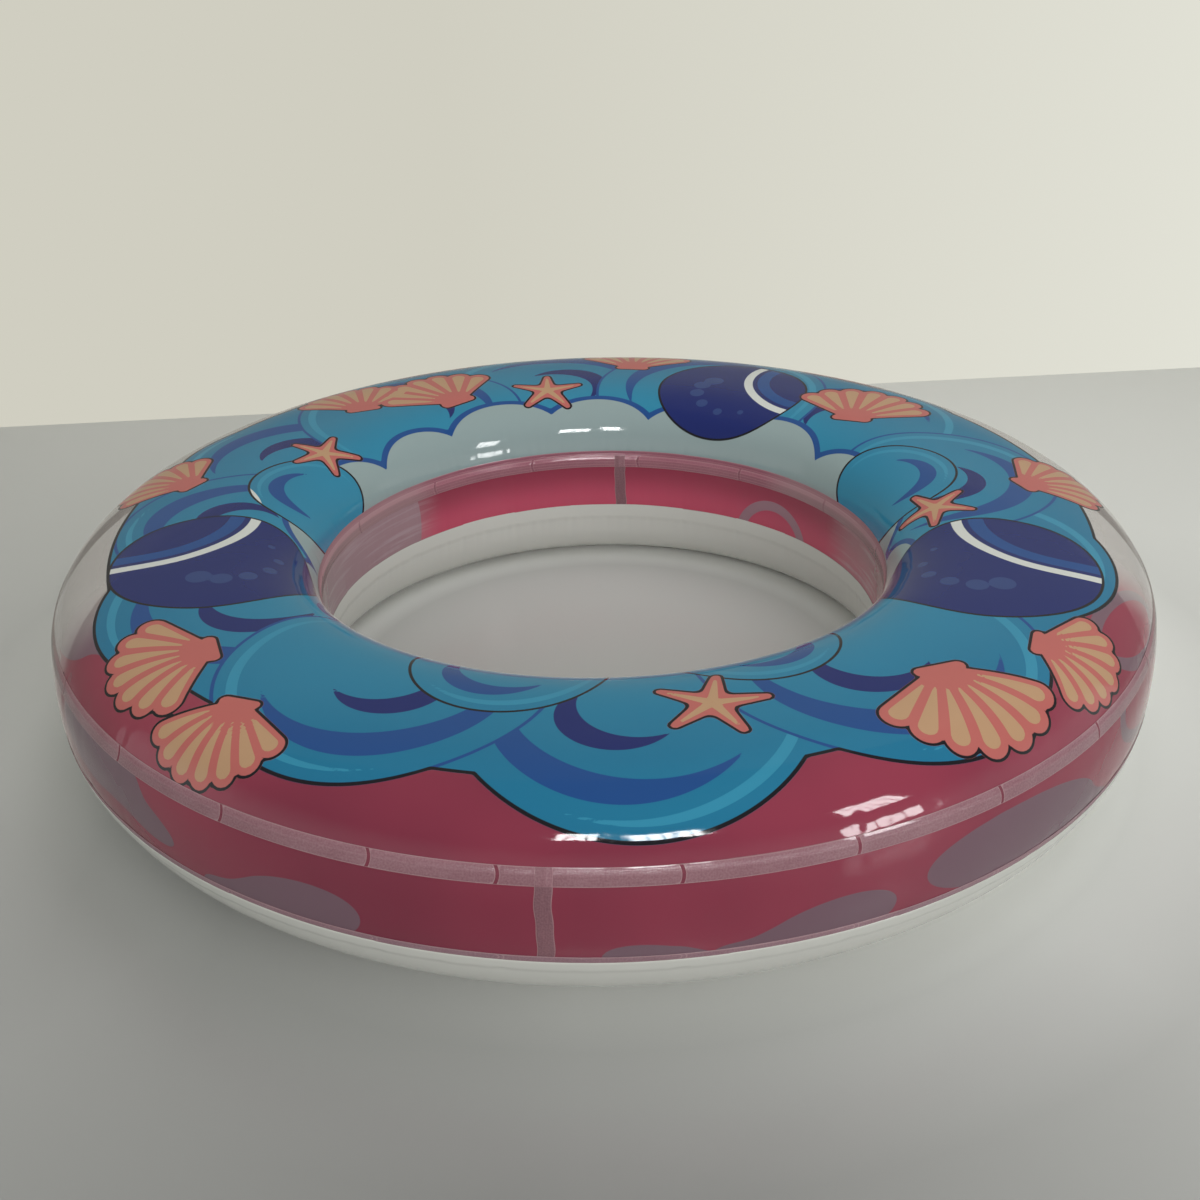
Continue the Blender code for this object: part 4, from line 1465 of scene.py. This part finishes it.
@dataclass
class ValvePlace:
    """Where the valve passes through the underside, and the round weld about it."""

    origin: Place = (0.0, 0.948573, 0.065833)
    outward: Place = (0.0, 0.717551, -0.696506)
    neck_radius: float = 0.0166
    weld_radius: float = 0.0310
    cut_radius: float = 0.0205
    rise: float = 0.0007
    sunk: float = 0.0002

    def takes(self, points: Array) -> Array:
        """True for each point that the valve's neck takes the place of."""
        return np.linalg.norm(points - np.array(self.origin), axis=1) < self.cut_radius

    def weld(self, section: TubeSection) -> Piece:
        """Makes the ring of knurled film that is fused to the valve's flange.

        Args:
            section: Section of the tube that it lies on.

        Returns:
            The object.
        """
        turns, rings = 120, 12
        side = Vector((-1.0, 0.0, 0.0))
        upright = Vector(self.outward).cross(side)
        turn, reach = np.meshgrid(np.arange(turns) * TAU / turns,
                                  np.linspace(self.neck_radius, self.weld_radius, rings), indexing="ij")
        flat = (np.array(self.origin) + (reach * np.cos(turn))[..., None] * np.array(side)
                + (reach * np.sin(turn))[..., None] * np.array(upright)).reshape(-1, 3)
        out = np.hypot(flat[:, 0], flat[:, 1])
        lower = (section.table_s > section.length * 0.75) & (section.table_s < section.length - 0.02)
        s, r, z = section.table_s[lower], section.table_r[lower], section.table_z[lower]
        nearest = np.hypot(out[:, None] - r[None, :], flat[:, 2][:, None] - z[None, :]).argmin(axis=1)
        edge = np.minimum(reach - self.neck_radius + 0.001, self.weld_radius - reach).ravel()
        rise = self.rise * smooth_share(edge, 0.0, 0.0015) - self.sunk
        points = section.wrap(s[nearest], np.arctan2(flat[:, 1], flat[:, 0]), rise)
        finish = KnurledWeld("white_vinyl_knurl", "#D6D6CF", "#C2C2BA", "#D6D6CF", "#DEDED8", 0.0030,
                             rough=0.3).build()
        faces = grid_faces(turns, rings, True, True).tolist()
        made = mesh_object("valve_weld_ring", points, faces, finish)
        store_uv(made, turn * self.weld_radius, reach)
        store(made, fade=np.zeros(turns * rings), rim=edge)
        return made


@dataclass
class Valve:
    """The screw valve on the underside. Its moulded pieces keep their CAD shape."""

    def dress(self, nodes: dict[str, Piece]) -> None:
        """Gives each moulded piece its finish.

        Args:
            nodes: The CAD nodes by name.
        """
        vinyl = Moulding("moulded_soft_vinyl", "#D6D6D0", 0.42).build()
        hard = Moulding("moulded_polypropylene", "#E2E2DE", 0.34).build()
        rubber = Moulding("moulded_nitrile_rubber", "#26262A", 0.58, 1000 / 500).build()
        finishes = {"valve_base": vinyl, "valve_tether": vinyl, "valve_insert": hard, "valve_cap": hard,
                    "valve_insert_seal": rubber, "valve_cap_seal": rubber, "valve_flap": rubber}
        for name, finish in finishes.items():
            slots = nodes[name].material_slots
            for slot in slots:
                slot.material = finish
            if not slots:
                nodes[name].data.materials.append(finish)


def open_back(p: Paint, front: Node) -> None:
    """Leaves a sheet's back clear, so that the ring is seen through it from behind or below.

    Args:
        p: Material being made.
        front: Shader of its face.
    """
    behind = p.add("NewGeometry").outputs["Backfacing"]
    both = p.add("MixShader", behind, front, p.add("BsdfTransparent"))
    feed(p.tree.nodes["Material Output"].inputs["Surface"], both)


@dataclass(frozen=True)
class SealedFloor:
    """Sealed screed, with painted light: lighter towards the room's bright end and where light comes
    through the film.
    """

    tone: float = 0.585
    tone_by_x: float = 0.06
    tone_by_y: float = 0.12
    tone_range: Pair = (0.30, 0.74)
    shade_place: float = 1.45
    shade: float = 0.68
    rough: float = 0.27

    def build(self) -> Finish:
        """Makes the material.

        Returns:
            The material, whose painted light and shade even out what the soft lights can't.
        """
        p = Paint("sealed_floor")
        x, y = p.add("SeparateXYZ", p.place).outputs[:2]
        out = p.add("Math:SQRT", p.add("Math:MULTIPLY_ADD", x, x, p.add("Math:MULTIPLY", y, y)))
        tone = p.add("Math:MULTIPLY_ADD", x, self.tone_by_x,
                     p.add("Math:MULTIPLY_ADD", y, self.tone_by_y, self.tone))
        least, most = self.tone_range
        tone = p.add("Math:MINIMUM", p.add("Math:MAXIMUM", tone, least), most)
        # In front of the ring the floor is darker, as the photograph shows: a painted shadow.
        ahead = p.add("Math:ADD", y, self.shade_place)
        front = p.add("Math:MULTIPLY_ADD", x, x, p.add("Math:MULTIPLY", ahead, ahead))
        front = p.add("Math:SQRT", front)
        tone = p.add("Math:MULTIPLY", tone, p.add("MapRange", front, 0.25, 0.95, self.shade, 1.0))
        # Under the tube's clear sides light comes through the film, and inside the hole it pools: both
        # are painted light in the floor's tone.
        clear_side = p.add("Math:ADD", p.add("MapRange", x, -0.60, -0.05, 0.0, 0.50),
                           p.add("MapRange", x, -0.85, -1.10, 0.0, 0.50))
        under = p.add("Math:MULTIPLY", p.add("MapRange", out, 1.26, 0.90), clear_side)
        edge = p.add("Math:MULTIPLY", p.add("MapRange", out, 1.01, 0.885, 0.0, 0.46),
                     p.add("MapRange", x, -0.60, -0.05))
        near = p.add("Math:MULTIPLY", p.add("Math:ADD", under, edge), p.add("MapRange", out, 0.60, 0.80))
        hollow = p.add("Math:MULTIPLY", p.add("MapRange", out, 0.495, 0.60, 0.0, 0.9),
                       p.add("MapRange", out, 0.72, 0.62))
        hollow = p.add("Math:SUBTRACT", hollow, p.add("MapRange", out, 0.75, 0.60, 0.0, 0.14))
        gain = p.add("Math:ADD", p.add("Math:ADD", near, hollow), 1.0)
        tone = p.add("Math:ADD", p.add("Math:MULTIPLY", tone, gain), -0.01)
        clouds = p.add("TexNoise", p.place, Scale=0.7, Detail=3.0)
        tone = p.add("Math:MULTIPLY_ADD", clouds, 0.02, tone)
        p.set(Base_Color=p.lay("#000000", (p.add("MapRange", tone), "#FEFFFC")), Roughness=self.rough,
              IOR=1.45)
        open_back(p, p.shader)
        return p.material


@dataclass(frozen=True)
class PaintedWall:
    """Matt emulsion on the wall: its colour is what the camera and the gloss see."""

    paint: str = "#DEDCD0"
    left: str = "#D0CEC1"
    right: str = "#E6E6DB"
    gloss_share: float = 0.42

    def build(self) -> Finish:
        """Makes the material.

        Returns:
            The material, which glows for what sees it and is plain paint for the room's light.
        """
        p = Paint("painted_wall")
        # Emulsion is matt and even; its tone from darker left to lighter right is painted light. What the
        # film reflects of it is dimmed, to match the photograph.
        p.set(Base_Color=linear(self.paint), Roughness=0.8)
        path = p.add("LightPath").outputs
        seen = p.add("Math:MAXIMUM", path["Is Glossy Ray"], path["Is Transmission Ray"])
        seen = p.add("Math:MAXIMUM", path["Is Camera Ray"], seen)
        strength = p.add("Math:MULTIPLY_ADD", path["Is Glossy Ray"], self.gloss_share - 1.0, 1.0)
        aside = p.add("SeparateXYZ", p.place).outputs[0]
        tone = p.lay(self.left, (p.add("MapRange", aside, -0.4, 2.4), self.right))
        glow = p.add("Emission", tone, strength)
        open_back(p, p.add("MixShader", seen, p.shader, glow))
        return p.material


@dataclass(frozen=True)
class Window:
    """A window that glints on the film: where it is seen from the ring's front, in degrees."""

    name: str
    turn: Pair
    up: Pair
    columns: int
    glow: float = 24.0
    pane: float = 0.86


@dataclass(frozen=True)
class SoftLight:
    """A broad lamp that no gloss shows, for the even light of a big room."""

    name: str
    place: Place
    aim: Place
    size: Pair
    glow: float


@dataclass
class Studio:
    """Camera, floor, backdrop and lights."""

    focal_px: float = 1434.5
    pitch: float = 27.64
    roll: float = -1.22
    height: float = 1.455
    distance: float = 2.4568
    aside: float = -0.0054
    frame_px: float = 1200.0
    sensor: float = 36.0
    floor_level: float = -0.0004
    floor_reach: float = 9.0
    wall_middle: float = 1.63
    wall_slope: float = 0.0845
    wall_height: float = 5.0
    front: Place = (0.0, -0.96, 0.3)
    window_distance: float = 8.0
    room: str = "#EFF0EC"
    room_glow: float = 0.60
    dim_heights: Pair = (0.20, 0.55)
    dim_gains: Pair = (0.20, -0.36)
    soft_lights: tuple[SoftLight, ...] = (
        SoftLight("soft_top", (1.1, 0.7, 3.4), (0.4, 0.1, 0.0), (4.0, 3.0), 1.2),
        SoftLight("soft_front", (1.5, -6.0, 2.6), (0.2, 0.0, 0.1), (5.0, 2.4), 3.75),
    )
    windows: tuple[Window, ...] = (
        Window("high_left", (-14, -1), (49, 59), 3), Window("high_right", (4, 25), (47, 56), 4),
        Window("side_high", (53, 66), (32, 44), 4, 15.0),
        Window("side_low", (46, 63), (11, 21), 3, 13.0),
    )

    def camera(self) -> None:
        """Sets the camera where the photograph was taken from."""
        data = bpy.data.cameras.new("camera")
        data.sensor_width = self.sensor
        data.lens = self.focal_px / self.frame_px * self.sensor
        pitch, roll = radians(self.pitch), radians(self.roll)
        right = Vector((1, 0, 0))
        up = Vector((0, sin(pitch), cos(pitch)))
        ahead = Vector((0, cos(pitch), -sin(pitch)))
        tilted_right = right * cos(roll) + up * sin(roll)
        tilted_up = up * cos(roll) - right * sin(roll)
        turned = Matrix((tilted_right, tilted_up, -ahead)).transposed().to_4x4()
        made = bpy.data.objects.new("camera", data)
        made.matrix_world = Matrix.Translation((self.aside, -self.distance, self.height)) @ turned
        bpy.context.scene.collection.objects.link(made)
        bpy.context.scene.camera = made

    def surroundings(self) -> None:
        """Makes the sealed floor and the pale wall behind the ring."""
        reach, level = self.floor_reach, self.floor_level
        left, right = ((x, self.wall_middle + self.wall_slope * x) for x in (-reach, reach))
        floor = [(x * reach, y * reach, level) for x, y in ((-1, -1), (1, -1), (1, 1), (-1, 1))]
        wall = [(*left, level), (*right, level), (*right, self.wall_height), (*left, self.wall_height)]
        mesh_object("floor", np.array(floor), [(0, 1, 2, 3)], SealedFloor().build())
        mesh_object("backdrop", np.array(wall), [(0, 1, 2, 3)], PaintedWall().build())

    def lamp(self, name: str, place: Vector, aim: Vector, size: Pair, glow: float, glints: bool) -> None:
        """Adds one rectangular lamp.

        Args:
            name: Its name.
            place: Where it hangs.
            aim: What it points at.
            size: Its width and height.
            glow: Its radiance, so that its power follows its size.
            glints: True where only gloss shows it, False where none does.
        """
        data = bpy.data.lights.new(name, "AREA")
        data.shape = "RECTANGLE"
        data.size, data.size_y = size
        data.energy = glow * pi * size[0] * size[1]
        made = bpy.data.objects.new(name, data)
        made.location = place
        made.rotation_euler = (aim - place).to_track_quat("-Z", "Y").to_euler()
        made.visible_glossy = glints
        made.visible_diffuse = not glints
        bpy.context.scene.collection.objects.link(made)

    def room_light(self) -> None:
        """Lights the room evenly, with less for the gloss the higher it looks."""
        world = bpy.data.worlds.new("world")
        bpy.context.scene.world = world
        world.use_nodes = True
        tree = world.node_tree
        path = add_node(tree, "ShaderNodeLightPath").outputs
        place = add_node(tree, "ShaderNodeTexCoord").outputs["Generated"]
        height = add_node(tree, "ShaderNodeSeparateXYZ", place).outputs[2]
        dimmer = add_node(tree, "ShaderNodeMapRange", height, *self.dim_heights, *self.dim_gains)
        strength = add_node(tree, "ShaderNodeMath:MULTIPLY_ADD", path["Is Glossy Ray"], dimmer,
                            self.room_glow)
        back = tree.nodes["Background"]
        feed(back.inputs[0], linear(self.room))
        feed(back.inputs[1], add_node(tree, "ShaderNodeMath:MAXIMUM", path["Is Camera Ray"], strength))

    def lamps(self) -> None:
        """Adds the soft lamps, and the windows that glint on the film."""
        for light in self.soft_lights:
            self.lamp(light.name, Vector(light.place), Vector(light.aim), light.size, light.glow, False)
        front = Vector(self.front)
        for window in self.windows:
            wide = (window.turn[1] - window.turn[0]) / window.columns
            high = window.up[1] - window.up[0]
            up = radians(window.up[0] + high / 2)
            size = (self.window_distance * radians(wide) * cos(up) * window.pane,
                    self.window_distance * radians(high) * window.pane)
            for column in range(window.columns):
                turn = radians(window.turn[0] + (column + 0.5) * wide)
                ray = Vector((sin(turn) * cos(up), -cos(turn) * cos(up), sin(up)))
                self.lamp(f"window_{window.name}_{column}_0", front + ray * self.window_distance,
                          front, size, window.glow, True)

    def build(self) -> None:
        """Sets the whole stage."""
        self.camera()
        self.surroundings()
        self.room_light()
        self.lamps()


def main() -> None:
    """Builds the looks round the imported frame."""
    logging.basicConfig(level=logging.INFO, format="%(name)s: %(message)s")
    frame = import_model()
    scene = bpy.context.scene
    scene.view_settings.view_transform = "Standard"
    section = TubeSection()
    films = Films(section)
    pieces = films.build(ValvePlace())
    pieces.update(Welds(section, films).build())
    for node, made in pieces.items():
        for piece in made:
            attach(piece, "ring")
        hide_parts(node)
        LOG.info("%s: %d pieces", node, len(made))
    Valve().dress(frame["nodes"])
    Studio().build()


if __name__ == "__main__":
    main()
